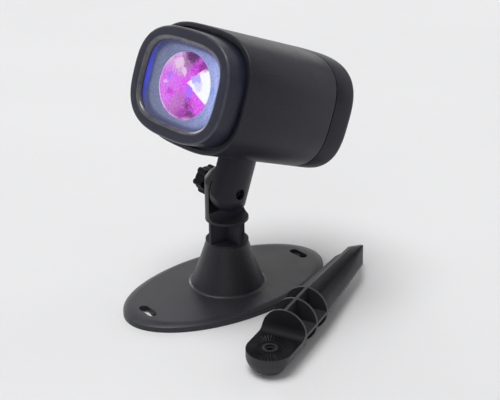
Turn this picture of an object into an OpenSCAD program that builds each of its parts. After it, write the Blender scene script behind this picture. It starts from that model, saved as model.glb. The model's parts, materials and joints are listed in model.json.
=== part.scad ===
// Outdoor wave projector: a lamp head on a clamped tilt knuckle over an oval screw-down base,
// with the ground stake that can take the base's place lying beside it.
// Origin: middle of the base's underside. +Z up, the beam leaves along -Y, the tilt axis is X.

/* [Base] */
// Length of the oval base, along Y
base_l = 146; // [136:1:180]
// Width of the oval base, along X
base_w = 81; // [64:1:90]
// Height of the base's flat top
base_t = 4.5; // [4:0.5:8]
// Width of the border that falls away from the flat top to the rim
rim_w = 7.8; // [4:0.2:9]
// Radius of the border's fall
rim_r = 21; // [18:0.5:40]
// Rounding of the rim's top edge
base_edge_r = 0.8; // [0.4:0.1:1.2]
// Thickness of the base's top skin over its hollow underside
base_skin = 2.2; // [1.6:0.1:3]
// Width of the rim and thickness of the ribs under the base
base_rib = 2.6; // [1.6:0.1:4]
// End-to-end length of a screw slot
slot_l = 14.5; // [9:0.5:20]
// Width of a screw slot
slot_w = 5.6; // [3.5:0.1:6.5]
// Distance between the middles of the two screw slots
slot_pitch = 120; // [96:1:124]

/* [Pedestal] */
// Height of the pedestal's mouth above the floor
pedestal_h = 32.5; // [30:0.5:50]
// Outer diameter of the pedestal's mouth
mouth_d = 26.4; // [25.6:0.1:32]
// Diameter of the pedestal's foot, where it meets the base
foot_d = 46.8; // [40:0.5:56]
// How far the pedestal's side bows in from a straight cone
flare_bow = 0.45; // [0.2:0.05:3]
// Fillet where the pedestal's side runs into the base
foot_fillet = 2; // [1:0.1:4]
// Bore of the socket that takes the post
socket_d = 23; // [20:0.1:24]
// Depth of the socket
socket_h = 17.5; // [14:0.5:22]
// Thickness of the socket's floor
socket_floor_t = 3; // [2:0.1:5]
// Wall of the hollow pedestal below its socket
pedestal_wall = 2.6; // [1.8:0.1:4]

/* [Knuckle and collar] */
// Diameter of the round rod that the arm, post and stake are made from
rod_d = 26.5; // [25:0.1:29]
// Distance from the tilt axis to the far face of the first collar ring
rod_end = 19.5; // [17:0.5:26]
// Rounding of a knuckle's end
end_r = 9; // [2:0.5:10]
// Open length between two collar rings
pocket_l = 13.4; // [8:0.1:18]
// Thickness of a collar ring
ring_t = 1.6; // [1:0.1:3]
// Thickness of the crossed webs
web_t = 1.8; // [1.4:0.1:4]
// Number of locking teeth on a knuckle face
tooth_count = 44; // [24:1:60]
// Height of a locking tooth
tooth_h = 0.45; // [0.4:0.05:1]
// Width of the ring of locking teeth
tooth_l = 6.2; // [4:0.1:7]
// Gap between facing tooth tips while the knob is slack
tooth_gap = 0.2; // [0.2:0.05:1]

/* [Clamp] */
// Diameter of the pivot bolt
bolt_d = 4; // [3:0.1:5]
// Diameter of the pivot bolt's head
bolt_head_d = 6; // [5.4:0.1:9]
// Height of the pivot bolt's head
bolt_head_h = 3; // [2:0.1:4]
// Depth of the recess that hides the bolt's head
bolt_recess = 6; // [4:0.1:7]
// Diameter of the washer under the knob
washer_d = 11; // [9:0.1:13]
// Thickness of the washer
washer_t = 1; // [0.6:0.1:1.6]
// Depth of the flat seat cut into the rod for the washer
seat_depth = 2; // [1.6:0.1:3]
// Distance from a knob lobe's tip to the knob's axis
knob_r = 9.2; // [8:0.1:13]
// Radius of a knob lobe
lobe_r = 2; // [1.4:0.1:2.6]
// Depth of the valleys between the knob's lobes
lobe_depth = 1.5; // [0.8:0.1:2.4]
// Number of knob lobes
lobe_count = 6; // [5:1:8]
// Thickness of the knob's grip
knob_t = 8.1; // [6:0.1:12]
// Gap between the rod and the knob's grip
knob_gap = 0.4; // [0.3:0.1:4]

/* [Head] */
// Width of the barrel
head_w = 92; // [90:1:110]
// Height of the barrel
head_h = 70; // [68:1:84]
// Length of the head, from the bezel's face to the rear
head_l = 97; // [92:1:130]
// Squareness of the barrel's section, where 2 is an ellipse
barrel_square = 3; // [2.8:0.1:3.6]
// Wall of the barrel
barrel_wall = 2.6; // [2:0.1:3]
// Rounding of the barrel's front edge
barrel_edge_r = 1.5; // [0.6:0.1:2]
// Length of the rear cap
cap_l = 16.8; // [14:0.1:22]
// Rounding of the rear cap's end
cap_edge_r = 4; // [2:0.5:6]
// Wall of the rear cap
cap_wall = 2.6; // [2:0.1:4]
// Angle that the beam is tipped up
head_pitch = 19; // [0:1:40]
// Length of the arm, from the tilt axis up to the barrel
arm_l = 21.5; // [20:0.5:34]
// Distance from the bezel's face back to the tilt axis
head_setback = 56; // [52:0.5:62]

/* [Window] */
// Step from the barrel's side in to the bezel's side
bezel_step_x = 3.3; // [2.8:0.1:5]
// Step from the barrel's top and bottom in to the bezel's
bezel_step_z = 4; // [3:0.1:5.5]
// Squareness of the bezel's section
bezel_square = 2.8; // [2.6:0.1:3]
// How far the bezel stands out of the barrel
bezel_out = 12; // [8:0.5:16]
// Open groove between the barrel's front edge and the bezel's plug
groove = 2; // [1:0.1:3]
// Length of the bezel's plug inside the barrel
plug_l = 10; // [6:0.5:11]
// Wall of the bezel around the lens tray
bezel_wall = 3; // [2:0.1:4]
// Rounding of the bezel's front edge
bezel_edge_r = 1.5; // [0.6:0.1:2.5]
// Width of the bezel's frame at the sides of the window
frame_x = 9.2; // [8.7:0.1:12]
// Width of the bezel's frame above and below the window
frame_z = 8; // [7.7:0.1:10]
// Squareness of the window opening
window_square = 3.4; // [2.8:0.1:3.6]
// Rounding of the window opening's edge
window_edge_r = 2.2; // [0.5:0.1:2.4]
// Depth of the window's frame in front of its seal
window_frame = 2.6; // [2.4:0.1:4]
// Thickness of the window seal
seal_t = 0.4; // [0.3:0.1:1.2]
// Width of the window seal
seal_w = 1.8; // [1:0.1:2.2]
// Thickness of the window pane
pane_t = 1; // [1:0.1:3]
// How far the pane reaches past the opening on each side
pane_lap = 2.4; // [2.2:0.1:2.8]

/* [Optics] */
// Depth of the lens tray's rim behind the pane
tray_rim = 1.2; // [1.1:0.1:4]
// Thickness of the lens tray
tray_t = 1.6; // [1:0.1:2.4]
// Width of the oval lens
lens_w = 45.5; // [40:0.5:50]
// Height of the oval lens
lens_h = 37.5; // [34:0.5:42]
// Crown of the lens in front of the tray
lens_crown = 0.8; // [0.4:0.1:1]
// Thickness of the lens's flange
lens_flange_t = 1.6; // [1:0.1:2.4]
// How far the lens's flange reaches past its opening
lens_lap = 2.2; // [1.4:0.1:3]
// Diameter of the wave rotor
rotor_d = 46; // [36:0.5:47]
// Thickness of the wave rotor at its rim
rotor_rim_t = 1.2; // [0.8:0.1:2]
// Height of the wave rotor's tallest facets above its rim
rotor_crown = 3; // [1.5:0.1:4]
// Number of facets round the wave rotor
facet_count = 14; // [9:1:20]
// Gap between the lens and the wave rotor's tallest facets
rotor_gap = 2; // [1:0.1:4]
// Gap between the bezel's plug and the light emitters' board
led_gap = 0.4; // [0.2:0.1:3]

/* [Inside] */
// Diameter of the motor's shaft
shaft_d = 3; // [2:0.1:4]
// Diameter of the motor
motor_d = 30; // [24:0.5:32]
// Length of the motor
motor_l = 14; // [10:0.5:18]
// Number of light emitters
emitter_count = 6; // [4:1:8]
// Diameter of a light emitter
emitter_d = 5; // [3:0.1:6]
// Diameter of the light emitters' board
led_d = 56; // [50:0.5:58]
// Thickness of the circuit boards
board_t = 1.6; // [1:0.1:2]
// Thickness of the heat sink's plate
sink_t = 3.4; // [2.4:0.1:5]
// Height of the heat sink's fins
fin_h = 10; // [6:0.5:14]
// Diameter of the barrel's corner bosses
boss_d = 8; // [7.6:0.1:9]
// Diameter of the screws that close the case
case_screw_d = 2.6; // [2:0.1:3]
// Diameter of the gland where the supply lead enters
gland_d = 14; // [12:0.5:16]
// Bore of the gland
gland_bore_d = 5.4; // [4:0.1:7]

/* [Stake] */
// Length of the stake from its bolt hole to its tip
stake_l = 139; // [115:1:200]
// Length of the stake's pointed tip
tip_l = 23; // [12:1:30]
// Width of the stake's blade where the tip starts
blade_w = 18.7; // [12:0.1:24]
// Angle of the stake on the floor, away from the base's length
stake_turn = 23.75; // [10:0.25:26]
// Place of the stake's bolt hole, to the side of the base's middle
stake_x = 87.5; // [82:0.5:110]
// Place of the stake's bolt hole, in front of the base's middle
stake_y = 40.3; // [30:0.1:50]

/* [Hidden] */

$fn = 64;
// Corners of a squared oval
oval_count = 64;
// Steps of a rounded edge
edge_steps = 4;
// Squareness of a plain ellipse
ellipse = 2;
// Overshoot of a cut past the face that it opens
cut = 1;
// Room on each side of pieces that only have to go together
slip = 0.2;
// Radial room of a turning fit
turn_fit = 0.05;
// Radial room of a pressed or threaded fit
press_fit = 0.02;

// Knuckle and clamp
rod_r = rod_d / 2;
face_x = tooth_h + tooth_gap / 2;
ring_fillet_r = rod_end - ring_t - rod_r;
tooth_rim = 0.1;
tooth_out = rod_r - tooth_rim;
tooth_in = tooth_out - tooth_l;
bolt_boss_wall = 2.4;
bolt_boss_d = bolt_d + 2 * bolt_boss_wall;
boss_bore_d = bolt_d + 1.8;
boss_bore_h = 0.8;
bolt_hole_d = bolt_d + 2 * turn_fit;
seat_x = rod_r - seat_depth;
knob_x = seat_x + washer_t + slip / 2;
knob_hub_l = rod_r + knob_gap - knob_x;
knob_end = knob_x + knob_hub_l + knob_t;
nut_w = bolt_d * 1.75;
nut_t = bolt_d * 0.8;

// Fasteners
screw_head_d = case_screw_d * 1.9;
screw_head_h = case_screw_d * 0.75;
pilot_l = 12;
small_screw_d = 2.2;
small_head_d = 4;
small_head_h = 1.6;

// Post and pedestal
pivot_z = pedestal_h + ring_t + pocket_l + rod_end;
flange_z = -rod_end - pocket_l - ring_t;
plug_r = socket_d / 2 - slip;
plug_h = socket_h - slip;
socket_floor_z = pedestal_h - socket_h;
post_floor_z = socket_floor_z - socket_floor_t;
post_screw_at = base_rib / 2 + screw_head_d / 2 + slip;
post_pilot_l = 6;

// The border's arc and the rim's rounding meet where they share a tangent
rim_touch = (rim_w - base_edge_r) * rim_r / (rim_r - base_edge_r);
rim_edge_z = base_t - rim_r + sqrt(pow(rim_r - base_edge_r, 2) - pow(rim_w - base_edge_r, 2));

// The pedestal's side is one shallow arc from its mouth to its foot, filleted into the base
flare_reach = (foot_d - mouth_d) / 2;
flare_drop = pedestal_h - base_t;
flare_l = sqrt(flare_reach * flare_reach + flare_drop * flare_drop);
flare_r = (flare_l * flare_l / 4 + flare_bow * flare_bow) / (2 * flare_bow);
flare_x = (foot_d + mouth_d) / 4 + flare_drop / flare_l * (flare_r - flare_bow);
flare_z = (pedestal_h + base_t) / 2 + flare_reach / flare_l * (flare_r - flare_bow);
fillet_z = base_t + foot_fillet;
fillet_x = flare_x - sqrt(pow(flare_r - foot_fillet, 2) - pow(fillet_z - flare_z, 2));
fillet_top = flare_z + (fillet_z - flare_z) * flare_r / (flare_r - foot_fillet);

// Head, measured back from the bezel's face
head_rise = arm_l + head_h / 2;
seal_gap = 0.6;
cap_y = head_l - cap_l;
barrel_end = cap_y - seal_gap;
inner_w = head_w - 2 * barrel_wall;
inner_h = head_h - 2 * barrel_wall;
bezel_w = head_w - 2 * bezel_step_x;
bezel_h = head_h - 2 * bezel_step_z;
window_w = bezel_w - 2 * frame_x;
window_h = bezel_h - 2 * frame_z;
plug_w = inner_w - 2 * slip;
plug_z = inner_h - 2 * slip;
plug_y = bezel_out + groove;
plug_end = plug_y + plug_l;
tray_w = bezel_w - 2 * bezel_wall - 2 * slip;
tray_h = bezel_h - 2 * bezel_wall - 2 * slip;
pane_w = window_w + 2 * pane_lap;
pane_h = window_h + 2 * pane_lap;
pane_y = window_frame + seal_t;
pane_back = pane_y + pane_t;
tray_y = pane_back + tray_rim;
tray_lip = 1.4;
lens_y = tray_y + tray_t;
rotor_top = lens_y + lens_flange_t + rotor_gap;
rotor_back = rotor_top + rotor_crown + rotor_rim_t;
hub_wall = 2.5;
hub_d = shaft_d + 2 * hub_wall;
hub_l = 4;
emitter_h = 2.2;
emitter_r = rotor_d * 0.35;
led_y = plug_end + led_gap;
hub_room = 3;
led_hole_d = hub_d + 2 * hub_room;
sink_y = led_y + board_t;
sink_back = sink_y + sink_t;
sink_room = 1.4;
sink_w = inner_w - 2 * sink_room;
sink_h = inner_h - 2 * sink_room;
bush_d = hub_d;
sink_hole_d = bush_d + 4 * slip;
fin_t = 1.6;
fin_step = 4.5;
fin_count = 4;
motor_flange_t = 1.2;
motor_ear_r = 3.6;
motor_ear = motor_d / 2 + motor_ear_r + cut;
motor_y = sink_back + motor_flange_t;
shaft_start = rotor_top + slip;
shaft_end = motor_y + motor_l * 0.7;

// Corner bosses stand in from the corner of the barrel's inside
corner = pow(0.5, 1 / barrel_square);
boss_inset = boss_d / 2 * 0.68;
boss_x = inner_w / 2 * corner - boss_inset;
boss_z = inner_h / 2 * corner - boss_inset;
spigot_l = 5.6;
spigot_wall = 2.2;
spigot_y = cap_y - spigot_l;
boss_end = spigot_y - slip;
cap_inner = head_l - cap_wall;
cap_screw_depth = 4.6;
cap_screw_seat = head_l - cap_screw_depth;
cap_screw_hole_d = case_screw_d + 2 * slip;
board_depth = 15.8;
board_y = cap_y - board_depth;
board_back = board_y + board_t;
board_w = 52;
board_h = 36;
board_post_d = 6;
board_post_x = board_w / 2 - board_post_d * 2 / 3;
board_post_z = board_h / 2 - board_post_d * 2 / 3;
capacitor_d = 10;
capacitor_l = 12;
coil_w = 14;
coil_h = 15;
coil_l = 9;
chip_w = 10;
chip_h = 8;
chip_t = 1.8;
gland_room = 3;
gland_drop = plug_z / 2 - spigot_wall - gland_d / 2 - gland_room;
gland_step = 1.5;
gland_thread_d = gland_d - 2 * gland_step;
gland_hex_t = 4;
gland_nut_t = 3.4;
gland_l = 9;
arm_x = rod_r / 2;
arm_spigot_d = rod_r / 2;
arm_screw_y = rod_r * 0.62;
arm_pilot_l = 5.6;
arm_head_out = (arm_x + screw_head_d / 2) / (inner_w / 2);
floor_rise = inner_h / 2 * (1 - pow(1 - pow(arm_head_out, barrel_square), 1 / barrel_square));
arm_screw_seat = barrel_wall + floor_rise + slip / 2;

// Stake
collar_end = rod_end + 2 * (pocket_l + ring_t);

// Signed power, which squares off an oval's corners
function signed_pow(v, e) = sign(v) * pow(abs(v), e);

// Corners of a squared oval; squareness n = 2 is an ellipse
function oval(w, h, n) = [
    for (i = [0:oval_count - 1])
        let (t = 360 * i / oval_count)
            [w / 2 * signed_pow(cos(t), 2 / n), h / 2 * signed_pow(sin(t), 2 / n)]
];

// Rings of a rounded edge, from the face at y to the full width one radius along dir.
// A negative radius rounds the edge of an opening.
function edge_rings(w, h, n, r, y, dir) = [
    for (i = [0:edge_steps])
        let (a = 90 * i / edge_steps, in = 2 * r * (1 - sin(a)))
            [w - in, h - in, n, y + dir * abs(r) * (1 - cos(a))]
];

function backwards(list) = [for (i = [len(list) - 1:-1:0]) list[i]];

// Skin through squared-oval rings, each [width, height, squareness, depth].
// A loop joins its last ring to its first, and any other skin has flat ends.
module oval_skin(rings, loop = false) {
    n = oval_count;
    count = len(rings);
    points = [for (r = rings) each [for (p = oval(r[0], r[1], r[2])) [p[0], r[3], p[1]]]];
    sides = [
        for (j = [0:count - (loop ? 1 : 2)], i = [0:n - 1])
            let (
                a = j * n + i,
                b = j * n + (i + 1) % n,
                c = ((j + 1) % count) * n + (i + 1) % n,
                d = ((j + 1) % count) * n + i
            )
                each [[a, b, c], [a, c, d]]
    ];
    first = [for (i = [n - 1:-1:0]) i];
    last = [for (i = [0:n - 1]) (count - 1) * n + i];
    polyhedron(points, loop ? sides : concat(sides, [first, last]), convexity = 6);
}

// A flat shape drawn in X and Z, made thick from depth y on
module along_y(y, len) {
    translate([0, y + len, 0]) rotate([90, 0, 0]) linear_extrude(len) children();
}

module oval_plate(w, h, n, y, len) {
    along_y(y, len) polygon(oval(w, h, n));
}

module rod_y(d, y, len) {
    translate([0, y, 0]) rotate([-90, 0, 0]) cylinder(d = d, h = len);
}

module rod_x(d, x, len) {
    translate([x, 0, 0]) rotate([0, 90, 0]) cylinder(d = d, h = len);
}

module at_corners(x, z) {
    for (sx = [-1, 1], sz = [-1, 1])
        translate([sx * x, 0, sz * z]) children();
}

// Cross-head screw with the underside of its head at z = 0 and its shank going up
module screw(d, head_d, head_h, len) {
    cylinder(d = d, h = len);
    difference() {
        translate([0, 0, -head_h]) cylinder(d = head_d, h = head_h);
        for (a = [0, 90])
            rotate([0, 0, a])
                translate([-head_d * 0.32, -head_d * 0.07, -head_h - cut])
                    cube([head_d * 0.64, head_d * 0.14, cut + head_h * 0.45]);
    }
}

module screw_back(d, head_d, head_h, y, len) {
    translate([0, y, 0]) rotate([-90, 0, 0]) screw(d, head_d, head_h, len);
}

module screw_forward(d, head_d, head_h, y, len) {
    translate([0, y, 0]) rotate([90, 0, 0]) screw(d, head_d, head_h, len);
}

// Places of the assembly: on the tilt axis, tipped with the head, inside the head, on the floor
module on_pivot() {
    translate([0, 0, pivot_z]) children();
}

module tipped() {
    on_pivot() rotate([-head_pitch, 0, 0]) children();
}

module in_head() {
    tipped() translate([0, -head_setback, head_rise]) children();
}

module on_floor() {
    translate([stake_x, -stake_y, rod_r])
        rotate([0, 0, stake_turn])
            rotate([90, 0, 0])
                rotate([0, 0, 90])
                    children();
}

// Ring of radial locking teeth that stand out from x = 0 along +X, rooted a little below it
module tooth_ring() {
    step = 360 / tooth_count;
    root = -tooth_h * 0.12;
    sunk = -tooth_h;
    points = [
        for (i = [0:tooth_count - 1], p = [[0, root], [0.5, tooth_h], [0, sunk]])
            for (r = [tooth_in, tooth_out])
                let (a = (i + p[0]) * step)
                    [p[1], r * cos(a), r * sin(a)]
    ];
    faces = [
        for (i = [0:tooth_count - 1])
            let (p = 6 * i, q = 6 * ((i + 1) % tooth_count))
                each [
                    [p, p + 2, p + 3], [p, p + 3, p + 1],
                    [p + 2, q, q + 1], [p + 2, q + 1, p + 3],
                    [p + 1, p + 3, q + 1], [p + 1, q + 1, p + 5], [p + 5, q + 1, q + 5],
                    [p, q, p + 2], [p, p + 4, q], [p + 4, q + 4, q],
                    [p + 4, p + 5, q + 5], [p + 4, q + 5, q + 4]
                ]
    ];
    polyhedron(points, faces, convexity = 8);
}

// Half drum about the tilt axis, from the knuckle's face out to -X, that rounds its end
module end_drum() {
    straight = rod_r - end_r;
    rotate([0, -90, 0]) rotate_extrude() {
        translate([0, face_x]) square([rod_r, straight - face_x]);
        translate([0, face_x]) square([straight, rod_r - face_x]);
        translate([straight, straight]) intersection() {
            circle(r = end_r);
            square(end_r);
        }
    }
}

// Half rod on the -X side of the joint, round-ended, with teeth and the bolt's boss on its face
module knuckle(len) {
    difference() {
        union() {
            intersection() {
                translate([0, 0, -len]) cylinder(r = rod_r, h = len + rod_r);
                union() {
                    end_drum();
                    translate([-rod_d, -rod_d, -len - cut]) cube([rod_d - face_x, 2 * rod_d, len + cut]);
                }
            }
            translate([-face_x, 0, 0]) tooth_ring();
            rod_x(bolt_boss_d, -face_x - tooth_h, 2 * tooth_h);
        }
        rod_x(bolt_hole_d, -rod_d, 2 * rod_d);
        rod_x(boss_bore_d, -face_x - boss_bore_h, rod_d);
    }
}

// Fillet from the knuckle's face into the first collar ring
module ring_fillet() {
    intersection() {
        translate([0, 0, -rod_end]) cylinder(r = rod_r, h = rod_end);
        rotate([90, 0, 0]) linear_extrude(rod_d, center = true) difference() {
            translate([-face_x - cut, -rod_end]) square([ring_fillet_r + cut, ring_fillet_r + ring_t]);
            translate([ring_fillet_r - face_x, -rod_r]) circle(r = ring_fillet_r);
        }
    }
}

// Knuckle on its first collar ring, with a flat seat for the washer, as on the post and the stake
module clamped_knuckle() {
    difference() {
        union() {
            knuckle(rod_end);
            ring_fillet();
            translate([0, 0, -rod_end]) cylinder(r = rod_r, h = ring_t);
        }
        rod_x(washer_d + 2 * slip, -seat_x - rod_d, rod_d);
    }
}

// Crossed webs of half-width r from z up
module webs(r, z, len) {
    for (a = [0, 90])
        rotate([0, 0, a])
            translate([-r, -web_t / 2, z])
                cube([2 * r, web_t, len]);
}

// Collar of rings and webs below a clamped knuckle
module collar(ring_count) {
    pitch = pocket_l + ring_t;
    webs(rod_r - press_fit, -rod_end - ring_count * pitch + ring_t / 2, ring_count * pitch);
    for (i = [1:ring_count])
        translate([0, 0, -rod_end - i * pitch]) cylinder(r = rod_r, h = ring_t);
}

// Ellipse of the base's outline, drawn in by inset on every side
module base_oval(inset) {
    scale([(base_w - 2 * inset) / (base_l - 2 * inset), 1, 1]) children();
}

module base_disc(inset, z, len) {
    base_oval(inset) translate([0, 0, z]) cylinder(d = base_l - 2 * inset, h = len, $fn = 128);
}

// Half outline of the base: a flat top, a border that falls away on an arc, and a rounded rim
module base_profile() {
    translate([0, -cut]) square([base_l / 2 - rim_w, base_t + cut]);
    intersection() {
        translate([base_l / 2 - rim_w, base_t - rim_r]) circle(r = rim_r, $fn = 180);
        translate([base_l / 2 - rim_w - cut, -cut]) square([rim_touch + cut, base_t + cut]);
    }
    translate([base_l / 2 - 2 * base_edge_r, -cut]) square([2 * base_edge_r, rim_edge_z + cut]);
    translate([base_l / 2 - base_edge_r, rim_edge_z]) circle(r = base_edge_r);
}

// Round-ended slot that runs across the base, at both ends of the base
module base_slots() {
    straight = (slot_l - slot_w) / 2;
    for (s = [-1, 1])
        translate([0, s * slot_pitch / 2, -cut]) {
            for (e = [-1, 1])
                translate([e * straight, 0, 0]) cylinder(d = slot_w, h = base_t + 2 * cut);
            translate([-straight, -slot_w / 2, 0]) cube([2 * straight, slot_w, base_t + 2 * cut]);
        }
}

// Arc of the pedestal's flare, moved inwards by depth
module flare(depth) {
    translate([flare_x, flare_z]) circle(r = flare_r + depth, $fn = 180);
}

// Half outline of the pedestal
module pedestal_profile() {
    difference() {
        translate([0, base_t / 2]) square([foot_d / 2, pedestal_h - base_t / 2]);
        difference() {
            flare(0);
            square([foot_d, base_t]);
        }
    }
    difference() {
        translate([0, base_t / 2]) square([fillet_x, fillet_top - base_t / 2]);
        translate([fillet_x, fillet_z]) circle(r = foot_fillet);
    }
}

// Half outline of the hollow below the socket, which follows the flare
module pedestal_hollow() {
    difference() {
        translate([0, -cut]) square([foot_d / 2, post_floor_z + cut]);
        flare(pedestal_wall);
    }
}

module base_flange() {
    hollow_top = base_t - base_skin;
    color("#4b4b55") difference() {
        union() {
            difference() {
                union() {
                    base_oval(0) rotate_extrude($fn = 128) base_profile();
                    rotate_extrude() pedestal_profile();
                }
                base_disc(base_rib, -2 * cut, hollow_top + 2 * cut);
                rotate_extrude() pedestal_hollow();
            }
            intersection() {
                base_disc(base_rib / 2, -cut, hollow_top + base_skin / 4 + cut);
                union() {
                    translate([-base_rib / 2, -base_l / 2, -cut]) cube([base_rib, base_l, base_t + cut]);
                    translate([-base_w / 2, -base_rib / 2, -cut]) cube([base_w, base_rib, base_t + cut]);
                }
            }
        }
        translate([-base_l, -base_l, -base_l]) cube([2 * base_l, 2 * base_l, base_l]);
        base_slots();
        translate([0, 0, socket_floor_z]) cylinder(d = socket_d, h = socket_h + cut);
        for (s = [-1, 1])
            translate([s * post_screw_at, s * post_screw_at, base_t])
                cylinder(d = case_screw_d + 2 * slip, h = pedestal_h);
    }
}

module base_post() {
    foot_z = flange_z - plug_h;
    color("#2b2b31") on_pivot() difference() {
        union() {
            clamped_knuckle();
            collar(1);
            webs(plug_r - press_fit, foot_z, plug_h + ring_t / 2);
            translate([0, 0, foot_z]) cylinder(r = plug_r, h = post_pilot_l + ring_t);
        }
        for (s = [-1, 1])
            translate([s * post_screw_at, s * post_screw_at, foot_z - cut])
                cylinder(d = case_screw_d + 2 * press_fit, h = post_pilot_l + cut);
    }
}

module post_screws() {
    reach = socket_floor_t + slip + post_pilot_l - cut;
    color("silver") for (s = [-1, 1])
        translate([s * post_screw_at, s * post_screw_at, post_floor_z])
            screw(case_screw_d, screw_head_d, screw_head_h, reach);
}

module washer() {
    color("silver") on_pivot() difference() {
        rod_x(washer_d, -seat_x - washer_t, washer_t);
        rod_x(bolt_hole_d, -rod_d, rod_d);
    }
}

module knob_outline() {
    circle(r = knob_r - lobe_depth);
    for (i = [0:lobe_count - 1])
        rotate(360 * (i + 0.5) / lobe_count) {
            translate([knob_r - lobe_r, 0]) circle(r = lobe_r, $fn = 32);
            translate([0, -lobe_r]) square([knob_r - lobe_r, 2 * lobe_r]);
        }
}

module nut_shape(grow, len) {
    rotate([0, 90, 0]) cylinder(d = nut_w / cos(30) + 2 * grow, h = len, $fn = 6);
}

module tilt_knob() {
    grip_x = -knob_x - knob_hub_l;
    color("#17171b") on_pivot() difference() {
        union() {
            rod_x(washer_d - 2, grip_x - cut, knob_hub_l + cut);
            translate([grip_x, 0, 0]) rotate([0, -90, 0]) linear_extrude(knob_t) knob_outline();
        }
        rod_x(bolt_hole_d, -2 * rod_d, 2 * rod_d);
        translate([-knob_end - cut, 0, 0]) nut_shape(press_fit, nut_t + cut);
    }
}

module knob_nut() {
    color("#c9a552") on_pivot() difference() {
        translate([-knob_end, 0, 0]) nut_shape(0, nut_t);
        rod_x(bolt_hole_d, -2 * rod_d, 2 * rod_d);
    }
}

module pivot_bolt() {
    seat = rod_r - bolt_recess;
    color("#3a3a3e") tipped() difference() {
        union() {
            rod_x(bolt_d, -knob_end, seat + knob_end + bolt_head_h / 4);
            rod_x(bolt_head_d, seat, bolt_head_h);
        }
        translate([seat + bolt_head_h / 2, 0, 0]) rotate([0, 90, 0])
            cylinder(d = bolt_head_d * 0.55, h = bolt_head_h, $fn = 6);
    }
}

// Places of the two screws through the barrel's floor into the arm
module at_arm_screws(z) {
    for (s = [-1, 1])
        translate([arm_x, s * arm_screw_y, z]) children();
}

// Half rod that ends in a saddle under the barrel
module tilt_arm() {
    color("#33343a") tipped() difference() {
        union() {
            difference() {
                rotate([0, 180, 0]) knuckle(arm_l + cut);
                translate([0, -head_setback, head_rise]) oval_plate(head_w, head_h, barrel_square, 0, head_l);
            }
            translate([arm_x, 0, arm_l - cut]) cylinder(d = arm_spigot_d, h = barrel_wall + cut);
        }
        rod_x(bolt_head_d + 2 * slip, rod_r - bolt_recess, rod_d);
        at_arm_screws(arm_l - arm_pilot_l) cylinder(d = case_screw_d + 2 * press_fit, h = arm_pilot_l + cut);
    }
}

module arm_screws() {
    color("silver") tipped() at_arm_screws(arm_l + arm_screw_seat) rotate([180, 0, 0])
        screw(case_screw_d, screw_head_d, screw_head_h, arm_screw_seat + arm_pilot_l - cut);
}

module housing_barrel() {
    shell = concat(
        edge_rings(head_w, head_h, barrel_square, barrel_edge_r, bezel_out, 1),
        [
            [head_w, head_h, barrel_square, barrel_end], [inner_w, inner_h, barrel_square, barrel_end],
            [inner_w, inner_h, barrel_square, bezel_out]
        ]
    );
    color("#34353b") in_head() difference() {
        union() {
            oval_skin(shell, loop = true);
            at_corners(boss_x, boss_z) rod_y(boss_d, sink_back, boss_end - sink_back);
        }
        at_corners(boss_x, boss_z) {
            rod_y(case_screw_d + 2 * press_fit, sink_back - cut, pilot_l + cut);
            rod_y(case_screw_d + 2 * press_fit, boss_end - pilot_l, pilot_l + cut);
        }
        translate([0, head_setback, -head_h / 2 - cut]) {
            translate([arm_x, 0, 0]) cylinder(d = arm_spigot_d + 2 * slip, h = barrel_wall + 3 * cut);
            at_arm_screws(0) cylinder(d = case_screw_d + 2 * slip, h = barrel_wall + 3 * cut);
        }
    }
}

module rear_seal() {
    color("#101013") in_head() difference() {
        oval_plate(head_w - 1, head_h - 1, barrel_square, barrel_end, seal_gap);
        oval_plate(inner_w, inner_h, barrel_square, barrel_end - cut, seal_gap + 2 * cut);
    }
}

module rear_cap() {
    spigot_in_w = plug_w - 2 * spigot_wall;
    spigot_in_h = plug_z - 2 * spigot_wall;
    post_l = cap_l + spigot_l - cap_wall / 2;
    shell = concat(
        [
            [spigot_in_w, spigot_in_h, barrel_square, cap_inner],
            [spigot_in_w, spigot_in_h, barrel_square, spigot_y],
            [plug_w, plug_z, barrel_square, spigot_y], [plug_w, plug_z, barrel_square, cap_y],
            [head_w, head_h, barrel_square, cap_y]
        ],
        backwards(edge_rings(head_w, head_h, barrel_square, cap_edge_r, head_l, -1))
    );
    color("#34353b") in_head() difference() {
        union() {
            oval_skin(shell);
            intersection() {
                oval_plate(plug_w - slip, plug_z - slip, barrel_square, spigot_y, post_l);
                at_corners(boss_x, boss_z) rod_y(boss_d, spigot_y - cut, post_l + 2 * cut);
            }
            at_corners(board_post_x, board_post_z)
                rod_y(board_post_d, board_back, cap_inner - board_back + cap_wall / 2);
        }
        at_corners(boss_x, boss_z) {
            rod_y(cap_screw_hole_d, spigot_y - cut, cap_l + spigot_l);
            rod_y(screw_head_d + 4 * slip, cap_screw_seat, cap_l);
        }
        at_corners(board_post_x, board_post_z)
            rod_y(small_screw_d + 2 * press_fit, board_back - cut, pilot_l + cut);
        translate([0, 0, -gland_drop]) rod_y(gland_thread_d + 2 * slip, cap_inner - cut, cap_wall + 2 * cut);
    }
}

module rear_screws() {
    reach = cap_screw_seat - boss_end + pilot_l - cut;
    color("#3a3a3e") in_head() at_corners(boss_x, boss_z)
        screw_forward(case_screw_d, screw_head_d, screw_head_h, cap_screw_seat, reach);
}

module cable_gland() {
    end_r = 2.4;
    color("#17171b") in_head() translate([0, head_l, -gland_drop]) rotate([-90, 0, 0]) difference() {
        union() {
            translate([0, 0, -cap_wall - gland_nut_t - cut])
                cylinder(d = gland_thread_d, h = cap_wall + gland_nut_t + 2 * cut);
            cylinder(d = gland_d / cos(30), h = gland_hex_t, $fn = 6);
            rotate_extrude() {
                square([gland_d / 2 - end_r, gland_hex_t + gland_l]);
                square([gland_d / 2, gland_hex_t + gland_l - end_r]);
                translate([gland_d / 2 - end_r, gland_hex_t + gland_l - end_r]) circle(r = end_r);
            }
        }
        translate([0, 0, -head_l / 2]) cylinder(d = gland_bore_d, h = head_l);
    }
}

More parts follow.
